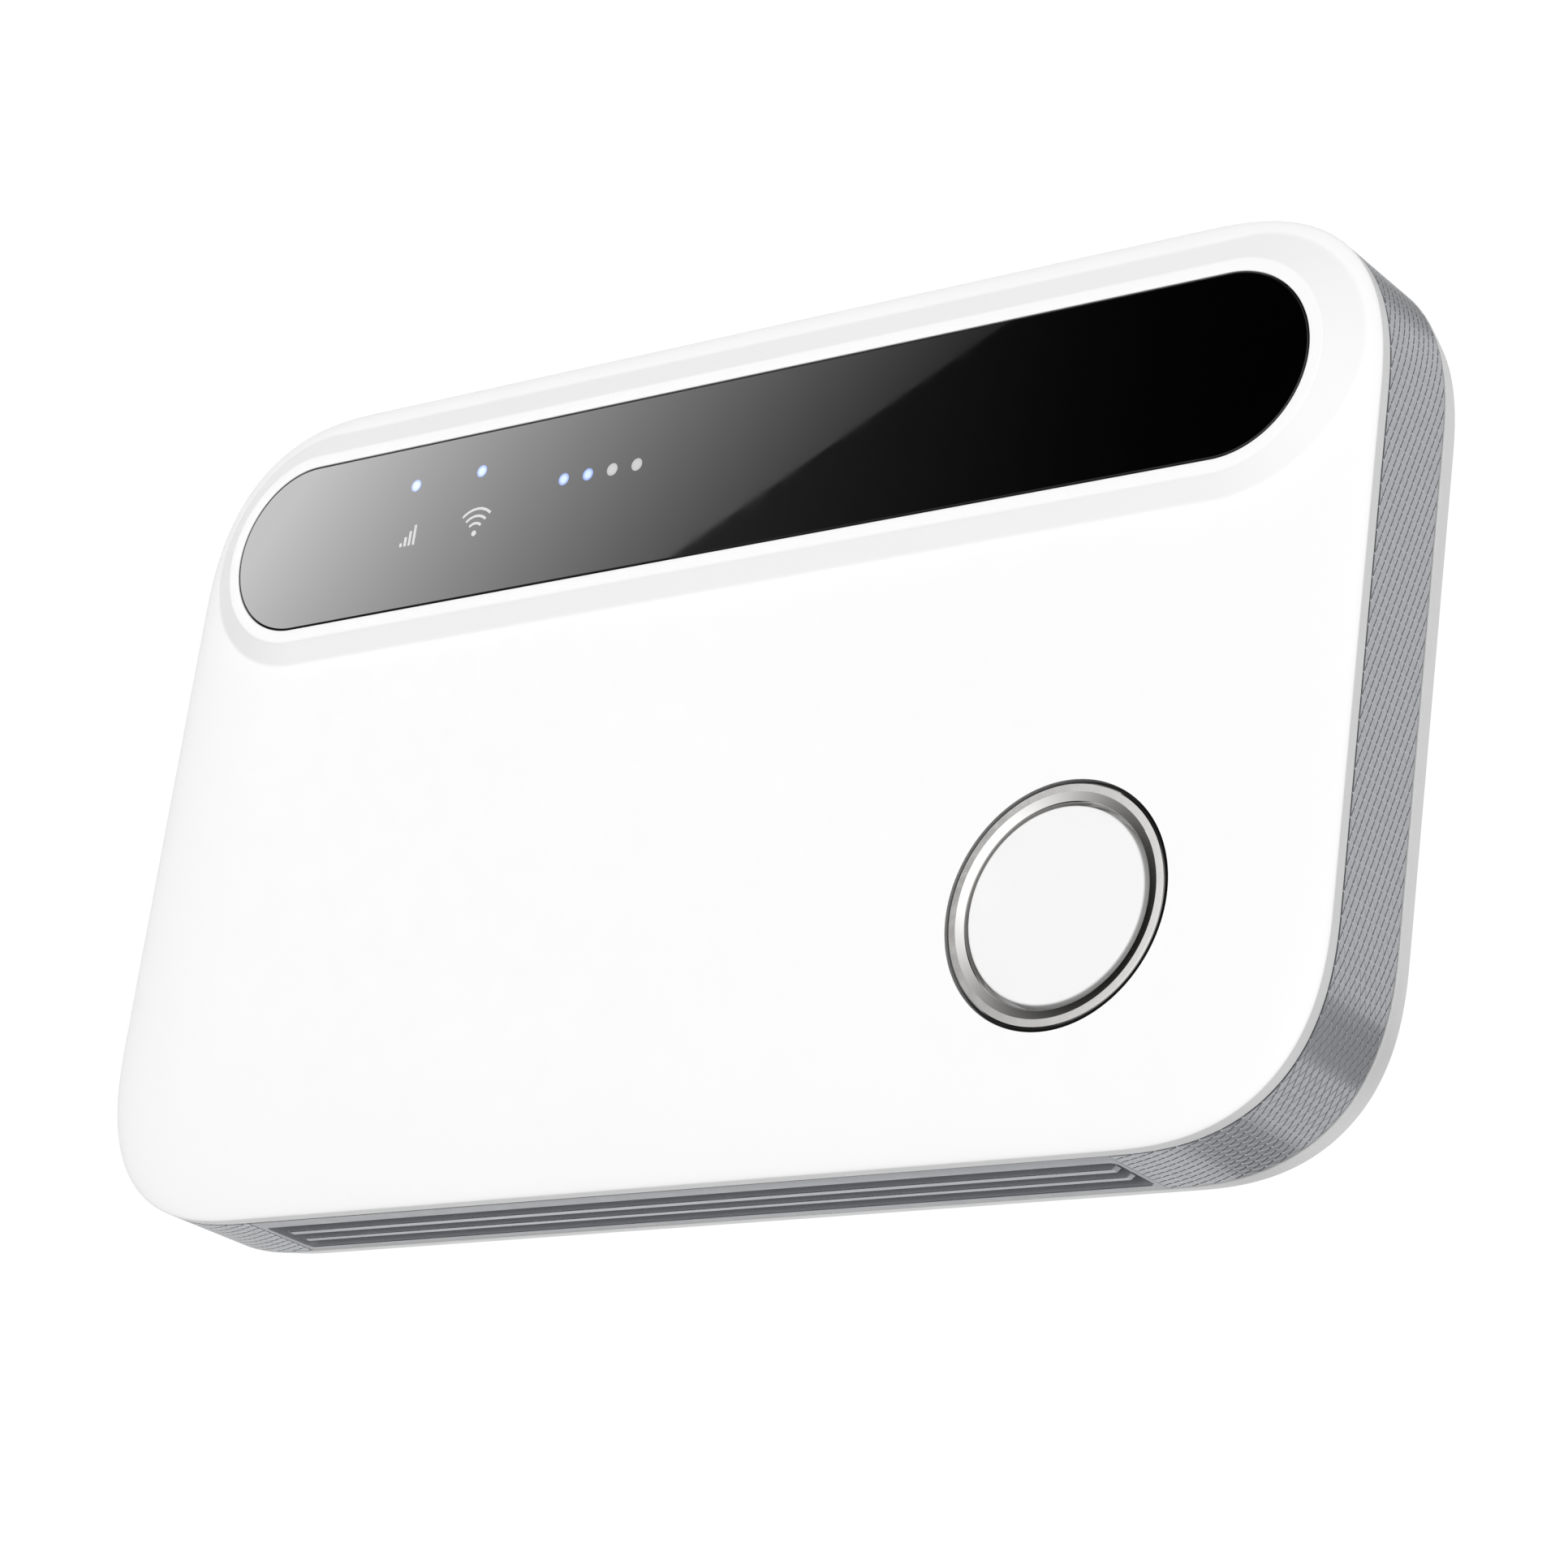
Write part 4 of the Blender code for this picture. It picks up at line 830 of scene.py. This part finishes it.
def off_panel(plan, middle):
    """Cuts a cell off at the edge of the smooth panel beside it."""
    reach = panel_range(middle)
    if reach:
        plan = plan.copy()
        if middle[0] < (reach[0] + reach[1]) / 2:
            plan[:, 0] = np.minimum(plan[:, 0], reach[0])
        else:
            plan[:, 0] = np.maximum(plan[:, 0], reach[1])
    return plan


def panel(core, x_range, side):
    """A flush smooth panel on one long side of the band."""
    low_z, high_z = BAND_Z[0] + 0.02, BAND_Z[1] - 0.02
    near, far = sorted((side * (HALF_Y - PANEL_DEPTH), side * HALF_Y))
    plate = rounded_box((x_range[0], near, low_z), (x_range[1], far, high_z), 0.05, 2)
    boolean(core, plate, "UNION")


def slot_tool(half_run, radius, middle):
    """A tool with round sides, through the upper side wall."""
    shape = stadium(radius, 0.0, steps=16, middle_y=0.0, spine=half_run)
    loops = []
    for y in (HALF_Y - BAND_WALL - 0.6, HALF_Y + 0.6):
        x, z = shape[:, 0] + middle[0], shape[:, 1] + middle[2]
        loops.append(np.column_stack((x, np.full(len(shape), y), z)))
    return mesh_of(*skin(loops))


def rounded_slab(x_half, z_range, y_range, radius, middle_x=0.0):
    """A tool with rounded corners in its XZ outline, which may grow along Y."""
    middle_z = (z_range[0] + z_range[1]) / 2
    half_z = (z_range[1] - z_range[0]) / 2
    corners = []
    for quadrant, (side_x, side_z) in enumerate(((1, 1), (-1, 1), (-1, -1), (1, -1))):
        angles = np.linspace(0, math.pi / 2, 7) + quadrant * math.pi / 2
        x = side_x * (x_half - radius) + radius * np.cos(angles)
        corners.append(np.column_stack((x, side_z * (half_z - radius) + radius * np.sin(angles))))
    loop = np.concatenate(corners)
    rows = []
    for y, grow in y_range:
        wider = loop + np.sign(loop) * grow
        rows.append(np.column_stack((wider[:, 0] + middle_x, np.full(len(loop), y), wider[:, 1] + middle_z)))
    return mesh_of(*skin(rows))


def middle_of(node):
    low, high = box_mm(node)
    return (low + high) / 2


def side_band():
    core = band_core()
    panel(core, GRILLE_PANEL_X, -1)
    panel(core, PORT_PANEL_X, 1)
    outer = -HALF_Y
    mouth = ((outer - 1, 0.04), (outer, 0.04), (outer + 0.05, 0.0), (outer + GRILLE_DEPTH, 0.0))
    boolean(core, rounded_slab(GRILLE_HALF_X, GRILLE_Z, mouth, GRILLE_CORNER))
    paint_band(core)
    radius = USB_HOLE[1] / 2
    boolean(core, slot_tool(USB_HOLE[0] / 2 - radius, radius, middle_of("usb_c_shell")))
    boolean(core, slot_tool(0.001, PIN_HOLE_RADIUS, middle_of("reset_button")))
    low, high = box_mm("sim_tray")
    z_range = (low[2] - TRAY_GAP, high[2] + TRAY_GAP)
    through = ((HALF_Y - 2, 0.0), (HALF_Y + 1, 0.0))
    tray_half_x = (high[0] - low[0]) / 2 + TRAY_GAP
    boolean(core, rounded_slab(tray_half_x, z_range, through, TRAY_CORNER, (low[0] + high[0]) / 2))
    settle(core, "main_unit", "side_band")
    knurl_cells(Path())
    for index, rib_z in enumerate(RIBS_Z):
        grille_rib(f"grille_rib_{index + 1}", rib_z)


def paint_band(core):
    """Paint on the ring's faces: the flush panels get the band's silver a little darkened, still brighter
    than the grooves, and the grille's recess a dark grey; both are painted shade.
    """
    for face in core.data.polygons:
        centre = np.array(face.center) / MM
        on_long_side = abs(abs(centre[1]) - HALF_Y) < 0.06
        recess = -HALF_Y + 0.08 < centre[1] < -HALF_Y + 1.0 and abs(centre[0]) < GRILLE_HALF_X + 0.05
        walled = GRILLE_Z[0] - 0.05 < centre[2] < GRILLE_Z[1] + 0.05
        # the grille's recess: dark grey, painted shade
        if recess and walled:
            face.material_index = 2
        # the flush panels: the darker silver, painted shade
        elif on_long_side or abs(abs(centre[1]) - HALF_Y) < KNURL_DEPTH - 0.02:
            face.material_index = 1


def grille_rib(name, rib_z):
    """A rib of the grille: a flat top with chamfers, and ends that slope down to the recess."""
    low_z, high_z = rib_z
    foot = -HALF_Y + GRILLE_DEPTH + 0.05
    sections = [(-RIB_HALF_X + run, drop) for run, drop in RIB_ENDS]
    sections += [(RIB_HALF_X - run, drop) for run, drop in reversed(RIB_ENDS)]
    loops = []
    for x, drop in sections:
        top = -HALF_Y + RIB_SINK + drop
        loop = [(x, foot, low_z), (x, top + RIB_CHAMFER, low_z), (x, top, low_z + RIB_CHAMFER)]
        loop += [(x, top, high_z - RIB_CHAMFER), (x, top + RIB_CHAMFER, high_z), (x, foot, high_z)]
        loops.append(np.array(loop))
    rib = add_mesh(name, *skin(loops), "silver", "main_unit", "silver_paint", smooth=20.0)
    rib.data.materials.append(LOOK["grille"])
    # the rib's upper and lower walls take the recess's dark grey: painted shade
    for face in rib.data.polygons:
        if abs(face.normal.z) > 0.9:
            face.material_index = 1


# ------------------------------------------------------- window and button


def window():
    loops = [stadium(LENS_RADIUS, LENS_BOX[0][2]), stadium(LENS_RADIUS, LENS_Z - 0.08)]
    for run, drop in ((0.02, 0.035), (0.06, 0.01), (0.12, 0.0)):
        loops.append(stadium(LENS_RADIUS - run, LENS_Z - drop))
    add_mesh("window_glass", *skin(loops), "lens", "main_unit", "lens", ["window_lens"], 5.0)
    for name, look in LIGHTS.items():
        dot(f"dot_{name}", middle_of(name), look)
    signal_icon(middle_of("signal_led"))
    wireless_icon(middle_of("wifi_led"))


def lens_tape():
    """The foam tape that holds the lens in its pocket."""
    low, high = box_mm("lens_adhesive")
    outer = high[1] - WINDOW_Y
    inner = outer - TAPE_WIDTH
    edge = TAPE_EDGE
    foot, top = low[2], high[2]
    section = [(inner + edge, foot), (outer - edge, foot), (outer, foot + edge), (outer, top - edge)]
    section += [(outer - edge, top), (inner + edge, top), (inner, top - edge), (inner, foot + edge)]
    mesh = welded([stadium(radius, z) for radius, z in section])
    tape = add_piece("lens_tape", mesh, "tape", "main_unit", ["lens_adhesive"])


def dot(name, middle, look):
    """A round light on the lens, with its origin in its own middle for its glow."""
    origin = np.array((middle[0], middle[1], PRINT_Z[1]))
    loops = [ring - origin for ring in turned([(DOT_RADIUS, z) for z in PRINT_Z], middle, 32)]
    obj = add_mesh(name, *skin(loops), look, None, "led")
    obj.location = Vector(origin * MM)
    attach(obj, "main_unit")


def signal_icon(middle):
    """Four bars that grow to the right, under the signal light."""
    points, faces = [], []
    foot_y = middle[1] - BARS_DROP
    half = BAR_SIZE[0] / 2
    for index in range(4):
        x = middle[0] + (index - 1.4) * BAR_STEP[0]
        height = BAR_SIZE[1] + index * BAR_STEP[1]
        for level in PRINT_Z:
            for corner in ((-half, 0.0), (half, 0.0), (half, height), (-half, height)):
                points.append((x + corner[0], foot_y + corner[1], level))
        start = index * 8
        faces.append((start + 3, start + 2, start + 1, start))
        faces.append((start + 4, start + 5, start + 6, start + 7))
        for side in range(4):
            after = (side + 1) % 4
            faces.append((start + side, start + after, start + 4 + after, start + 4 + side))
    add_mesh("icon_signal", points, faces, "print", "main_unit", "white")


def wireless_icon(middle):
    """A dot with three arcs over it, under the wireless light."""
    points, faces = [], []
    centre = middle[:2] + ARCS_OFFSET
    row = ARC_STEPS + 1
    for inner, outer, half_angle in ARCS:
        angles = np.linspace(math.pi / 2 - half_angle, math.pi / 2 + half_angle, row)
        unit = np.column_stack((np.cos(angles), np.sin(angles)))
        start = len(points)
        for level in PRINT_Z:
            for radius in (inner + 1e-3, outer):
                points.extend(lift(centre + radius * unit, level))
        for a in range(start, start + ARC_STEPS):
            for first, second in ((0, row), (row, 3 * row), (3 * row, 2 * row), (2 * row, 0)):
                faces.append((a + first, a + 1 + first, a + 1 + second, a + second))
        for end in (start, start + ARC_STEPS):
            faces.append((end, end + row, end + 3 * row, end + 2 * row))
    add_mesh("icon_wireless", points, faces, "print", "main_unit", "white")


def closed_ring(name, profile, look, replaced=()):
    mesh = welded(turned(profile, BUTTON, RING_STEPS))
    add_piece(name, mesh, look, "main_unit", replaced, 8.0)


def button():
    """The chrome ring, a black sleeve and floor in the gap round it that paint the gap's shade, and the white
    key.
    """
    facet_top, facet_foot = (RING_Z - drop for drop in FACET_DROP)
    ring = [(6.7, RING_FOOT_Z), (7.92, RING_FOOT_Z), (7.92, RING_Z - 0.06), (7.86, RING_Z - 0.005)]
    ring += [(7.84, RING_Z), (7.36, RING_Z), (7.33, facet_top), (6.78, facet_foot)]
    ring += [(6.73, facet_foot - 0.05), (6.7, facet_foot - 0.12)]
    closed_ring("trim_ring", ring, "chrome", ["button_trim_ring"])
    low_z, high_z = HOLE_FOOT_Z + 0.02, HOLE_FOOT_Z + 0.2
    # a thin black sleeve on the ring's outer wall and a black floor in the gap: painted shade
    gap_shade = [(7.93, low_z), (HOLE_RADIUS - 0.01, low_z), (HOLE_RADIUS - 0.01, high_z), (7.97, high_z)]
    gap_shade += [(7.97, RING_Z - 0.08), (7.93, RING_Z - 0.07)]
    closed_ring("ring_gap_shade", gap_shade, "gap_shade")
    foot_z = CAP_BOX[0][2]
    flange_z = foot_z + CAP_STEM
    flange_radius, flange = CAP_FLANGE
    key = [(1.5, foot_z), (1.5, flange_z), (flange_radius, flange_z), (flange_radius, flange_z + flange)]
    key += [(CAP_RADIUS, flange_z + flange), (CAP_RADIUS, CAP_Z - 0.14), (CAP_RADIUS - 0.02, CAP_Z - 0.07)]
    key += [(CAP_RADIUS - 0.06, CAP_Z - 0.03), (CAP_RADIUS - 0.11, CAP_Z - 0.008), (CAP_RADIUS - 0.18, CAP_Z)]
    key += [(4.0, CAP_Z), (1.0, CAP_Z)]
    loops = turned(key, BUTTON, RING_STEPS)
    add_mesh("button_key", *skin(loops), "cap", "power_button", "white", ["power_button_cap"], 50.0)


# ------------------------------------------------------------------- insides


def foam_pads():
    pads = (
        ("foam_pad", "battery_foam_pad", "back_cover", 0.15, 0.9),
        ("gap_pad", "thermal_pad", "main_unit", 0.12, 1.0),
    )
    for name, node, body, edge, fill in pads:
        pad = add_piece(name, rounded_box(*box_mm(node), edge), "pad", body, [node])


def battery_pack():
    """The wrapped cell, its moulded end cap and the three terminals in it."""
    low, high = box_mm("battery_pack")
    cell = rounded_box(low, high, 1.3, 6)
    add_piece("battery_cell", cell, "battery", "battery", ["battery_pack"])
    cap_low = (low[0] + 1.5, high[1] - 3.2, low[2] - 0.05)
    cap_high = (high[0] - 1.5, high[1] + 0.05, high[2] + 0.05)
    add_piece("battery_end_cap", rounded_box(cap_low, cap_high, 0.7, 4), "black", "battery")
    for index in range(3):
        x = middle_of(f"battery_contact_{index + 1}")[0]
        pad_low = (x - 0.9, high[1] - 0.4, low[2] + 1.2)
        pad_high = (x + 0.9, high[1] + 0.09, high[2] - 1.0)
        name = f"battery_terminal_{index + 1}"
        add_piece(name, rounded_box(pad_low, pad_high, 0.12), "brass", "battery")


def usb_contacts():
    """Twelve gold strips on each side of the port's tongue."""
    middle = middle_of("usb_c_tongue")
    end_y = box_mm("usb_c_tongue")[1][1]
    pitch, half_width, sunk = 0.5, 0.12, 0.02
    strips = []
    for side in (-1, 1):
        for index in range(12):
            x = middle[0] + (index - 5.5) * pitch
            z = middle[2] + side * 0.35
            low = (x - half_width, end_y - 3.6, z - sunk)
            strips.append(rounded_box(low, (x + half_width, end_y - 0.5, z + sunk), 0.0))
    add_piece("usb_contacts", joined(strips), "brass", "main_unit")


def cover_ribs():
    """Low stiffening ribs on the cover's floor, clear of the battery."""
    foot_z = COVER_FLOOR_Z - 0.1
    half = RIB_HALF_WIDTH
    spans = [((x - half, -21.0), (x + half, 19.0)) for x in RIB_PLACES["x"]]
    spans += [((-34.0, y - half), (26.0, y + half)) for y in RIB_PLACES["y"]]
    ribs = [rounded_box((*low, foot_z), (*high, RIB_TOP_Z), 0.1, 2) for low, high in spans]
    add_piece("cover_ribs", joined(ribs), "white", "back_cover")


SLOT_LOOKS = {"silver_paint": "silver", "black_plastic": "black"}  # the others share their name


def dress_cad_nodes():
    """Procedural finishes and small edge rounds on the CAD nodes that stay in view."""
    for part in frame["record"]["subparts"]:
        node = frame["nodes"][part["node"]]
        if node.hide_render:
            continue
        slot = part["material_slot"]
        node.data.materials.clear()
        node.data.materials.append(LOOK[SLOT_LOOKS.get(slot, slot)])
        size = np.ptp(np.array(box_mm(part["node"])), axis=0)
        bevel = node.modifiers.new("edge_round", "BEVEL")
        bevel.width = min(0.08, size.min() * 0.12) * MM
        bevel.segments = 2
        bevel.limit_method = "ANGLE"
        bevel.angle_limit = math.radians(40)
        bevel.harden_normals = False


# --------------------------------------------------------------------- stage


CARD_Z = 400.0
CARD_GLARE = ((-4.06, 13.27), (22.1, 25.95))  # the mirrored glare's slanting edge on the window
FLOOR_LIGHT = 0.9
FLOOR_SHADE = 1.02  # what the camera sees of the floor
FLAG_LIGHT = 0.42
ZENITH_LIGHT = 1.9
FRONT_LIGHT = 0.55
FRONT_WAY = (0.87, -0.5, 0.0)
FACE_CARD_LIGHT = 3.6
FACE_CARD_EDGE = (0.030, 0.050)  # metres from the card's origin, where its darker middle ends
FACE_CARD_MIDDLE = ((-0.023, 0.023), (0.46, 0.96))  # metres along X, and the light there
FACE_CARD_PLAN = ((-46.0, -29.0), (47.0, 10.5))
CAMERA_PLACE = Vector((0.185317, -0.106099, 0.224790))
CAMERA_FORWARD = Vector((-0.60090, 0.34546, -0.72082))
CAMERA_RIGHT = Vector((0.79112, 0.12815, -0.59809))


def emission(name, strength=1.0):
    made = bpy.data.materials.new(name)
    made.use_nodes = True
    tree = made.node_tree
    tree.nodes.clear()
    output = tree.nodes.new("ShaderNodeOutputMaterial")
    shader = tree.nodes.new("ShaderNodeEmission")
    shader.inputs["Color"].default_value = (1.0, 1.0, 1.0, 1.0)
    shader.inputs["Strength"].default_value = strength
    tree.links.new(shader.outputs["Emission"], output.inputs["Surface"])
    made.cycles.emission_sampling = "NONE"
    return made, tree, shader


def card(name, corners, z, material, origin=(0.0, 0.0)):
    """A studio card over the object that only mirrors show."""
    points = [(x - origin[0], y - origin[1], 0.0) for x, y in corners]
    mesh = mesh_of(points, [tuple(range(len(points)))])
    obj = new_object(name, mesh)
    obj.location = (origin[0] * MM, origin[1] * MM, z * MM)
    mesh.materials.append(material)
    obj.visible_camera = False
    obj.visible_diffuse = False
    obj.visible_shadow = False
    obj.visible_transmission = False
    return obj


def mirrored(x, y):
    """Where the window's mirror image of the camera sees a plan point on the cards' plane."""
    eye_x, eye_y, eye_z = CAMERA_PLACE / MM
    scale = (CARD_Z - (2 * RIM_Z - eye_z)) / (RIM_Z - (2 * RIM_Z - eye_z))
    return eye_x + (x - eye_x) * scale, eye_y + (y - eye_y) * scale


def power_fade(tree, value, start, end, power, gain):
    """A brightness that falls from gain at start to nothing at end, on a power curve."""
    fade = remap(tree, value, (end, start)).outputs["Result"]
    return calculate(tree, "MULTIPLY", calculate(tree, "POWER", fade, power), gain)


def slanted_place(tree, lean):
    """The place along a card in object space, leaning with its height."""
    place = tree.nodes.new("ShaderNodeTexCoord").outputs["Object"]
    return vector_value(tree, "DOT_PRODUCT", place, (1.0, -lean, 0.0))


def faded_card(name, corners, plan, lean, power, gain):
    """A card whose light fades to the right between two plan places on the window."""
    origin = mirrored(plan[0], WINDOW_Y)
    reach = (mirrored(plan[1], WINDOW_Y)[0] - origin[0]) * MM
    material, tree, shader = emission(name)
    glow = power_fade(tree, slanted_place(tree, lean), 0.0, reach, power, gain)
    tree.links.new(glow, shader.inputs["Strength"])
    card(name, corners, CARD_Z, material, origin)


def cards():
    """The window's mirror image: a bright card that fades to the right, and a dark one beside it."""
    slant = np.array(CARD_GLARE)
    way = slant[1] - slant[0]
    foot, head = mirrored(*(slant[0] - way * 0.25)), mirrored(*(slant[1] + way * 0.2))
    left, right = mirrored(-50.0, WINDOW_Y)[0], mirrored(58.0, WINDOW_Y)[0]
    bright_corners = ((left, foot[1]), foot, head, (left, head[1]))
    dark_corners = (foot, (right, foot[1]), (right, head[1]), head)
    faded_card("gradient_card", bright_corners, (-44.0, 30.0), 0.75, 1.85, 9.3)
    faded_card("dark_card", dark_corners, (-8.0, 44.0), 0.0, 2.0, 0.4)


def face_card():
    """A soft bright card over the flat face, darker where the chrome ring mirrors it."""
    material, tree, shader = emission("face_card")
    place = tree.nodes.new("ShaderNodeTexCoord").outputs["Object"]
    edge = remap(tree, vector_value(tree, "LENGTH", place), FACE_CARD_EDGE)
    edge.interpolation_type = "SMOOTHSTEP"
    split = tree.nodes.new("ShaderNodeSeparateXYZ")
    tree.links.new(place, split.inputs[0])
    inner = remap(tree, split.outputs["X"], *FACE_CARD_MIDDLE)
    mix = tree.nodes.new("ShaderNodeMix")
    tree.links.new(edge.outputs["Result"], mix.inputs["Factor"])
    tree.links.new(inner.outputs["Result"], mix.inputs["A"])
    mix.inputs["B"].default_value = FACE_CARD_LIGHT
    tree.links.new(mix.outputs["Result"], shader.inputs["Strength"])
    low, high = (mirrored(*place) for place in FACE_CARD_PLAN)
    corners = (low, (high[0], low[1]), high, (low[0], high[1]))
    card("face_card", corners, CARD_Z + 1.0, material, mirrored(BUTTON[0], BUTTON[1]))


def floor_flags():
    """Dark shapes on the floor, out of the camera's sight, which the band's corners mirror."""
    material = emission("floor_flag", FLAG_LIGHT)[0]
    shapes = (
        ((50.6, -21.6), (61.0, -20.6), (58.4, -31.6), (49.6, -26.4)),
        ((44.6, -31.2), (44.6, -41.0), (32.5, -39.6), (39.2, -31.6)),
        ((48.9, 26.2), (52.0, 37.0), (42.5, 39.0), (45.8, 28.6)),
    )
    for index, corners in enumerate(shapes):
        flag = card(f"floor_flag_{index + 1}", corners, 0.02, material)
        flag.visible_diffuse = True


def floor():
    size = 3000.0
    points = [(-size, -size, 0.0), (size, -size, 0.0), (size, size, 0.0), (-size, size, 0.0)]
    mesh = mesh_of(points, [(0, 1, 2, 3)])
    obj = new_object("floor", mesh)
    obj.location = (0.0, 0.0, -0.00002)
    material, tree, shader = emission("pale_floor")
    path = tree.nodes.new("ShaderNodeLightPath")
    level = remap(tree, path.outputs["Is Camera Ray"], (0.0, 1.0), (FLOOR_LIGHT, FLOOR_SHADE))
    tree.links.new(level.outputs["Result"], shader.inputs["Strength"])
    mesh.materials.append(material)


def sky():
    """A soft studio dome: brightest overhead, dark round the horizon, lit on the camera's side."""
    world = bpy.data.worlds.new("studio")
    bpy.context.scene.world = world
    world.use_nodes = True
    tree = world.node_tree
    shader = tree.nodes["Background"]
    shader.inputs["Color"].default_value = (1.0, 1.0, 1.0, 1.0)
    way = tree.nodes.new("ShaderNodeTexCoord").outputs["Generated"]
    split = tree.nodes.new("ShaderNodeSeparateXYZ")
    tree.links.new(way, split.inputs[0])
    height = calculate(tree, "MAXIMUM", split.outputs["Z"], 0.0)
    overhead = calculate(tree, "MULTIPLY", calculate(tree, "POWER", height, 5.0), ZENITH_LIGHT)
    toward = calculate(tree, "MAXIMUM", vector_value(tree, "DOT_PRODUCT", way, FRONT_WAY), 0.0)
    glow = calculate(tree, "ADD", overhead, calculate(tree, "MULTIPLY", toward, FRONT_LIGHT))
    path = tree.nodes.new("ShaderNodeLightPath")
    seen = calculate(tree, "MAXIMUM", glow, path.outputs["Is Camera Ray"])
    tree.links.new(seen, shader.inputs["Strength"])


def overhead_lamp():
    """A soft square lamp high over the object, which no mirror shows."""
    data = bpy.data.lights.new("overhead", "AREA")
    data.shape = "SQUARE"
    data.size = 0.5
    data.energy = 5.0
    obj = new_object("overhead", data)
    obj.location = (0.05, 0.1, 0.9)
    obj.rotation_euler = (-obj.location).to_track_quat("-Z", "Y").to_euler()
    obj.visible_glossy = False


def camera():
    data = bpy.data.cameras.new("camera")
    data.sensor_width = 36.0
    data.lens = 104.75
    data.clip_start = 0.01
    obj = new_object("camera", data)
    up = CAMERA_RIGHT.cross(CAMERA_FORWARD)
    turn = Matrix((CAMERA_RIGHT, up, -CAMERA_FORWARD)).transposed()
    obj.matrix_world = Matrix.Translation(CAMERA_PLACE) @ turn.to_4x4()
    bpy.context.scene.camera = obj


def stage():
    floor()
    floor_flags()
    cards()
    face_card()
    sky()
    overhead_lamp()
    camera()
    bpy.context.scene.view_settings.view_transform = "Standard"


stage()
front_shell()
back_cover()
side_band()
window()
button()
lens_tape()
foam_pads()
battery_pack()
usb_contacts()
cover_ribs()
dress_cad_nodes()
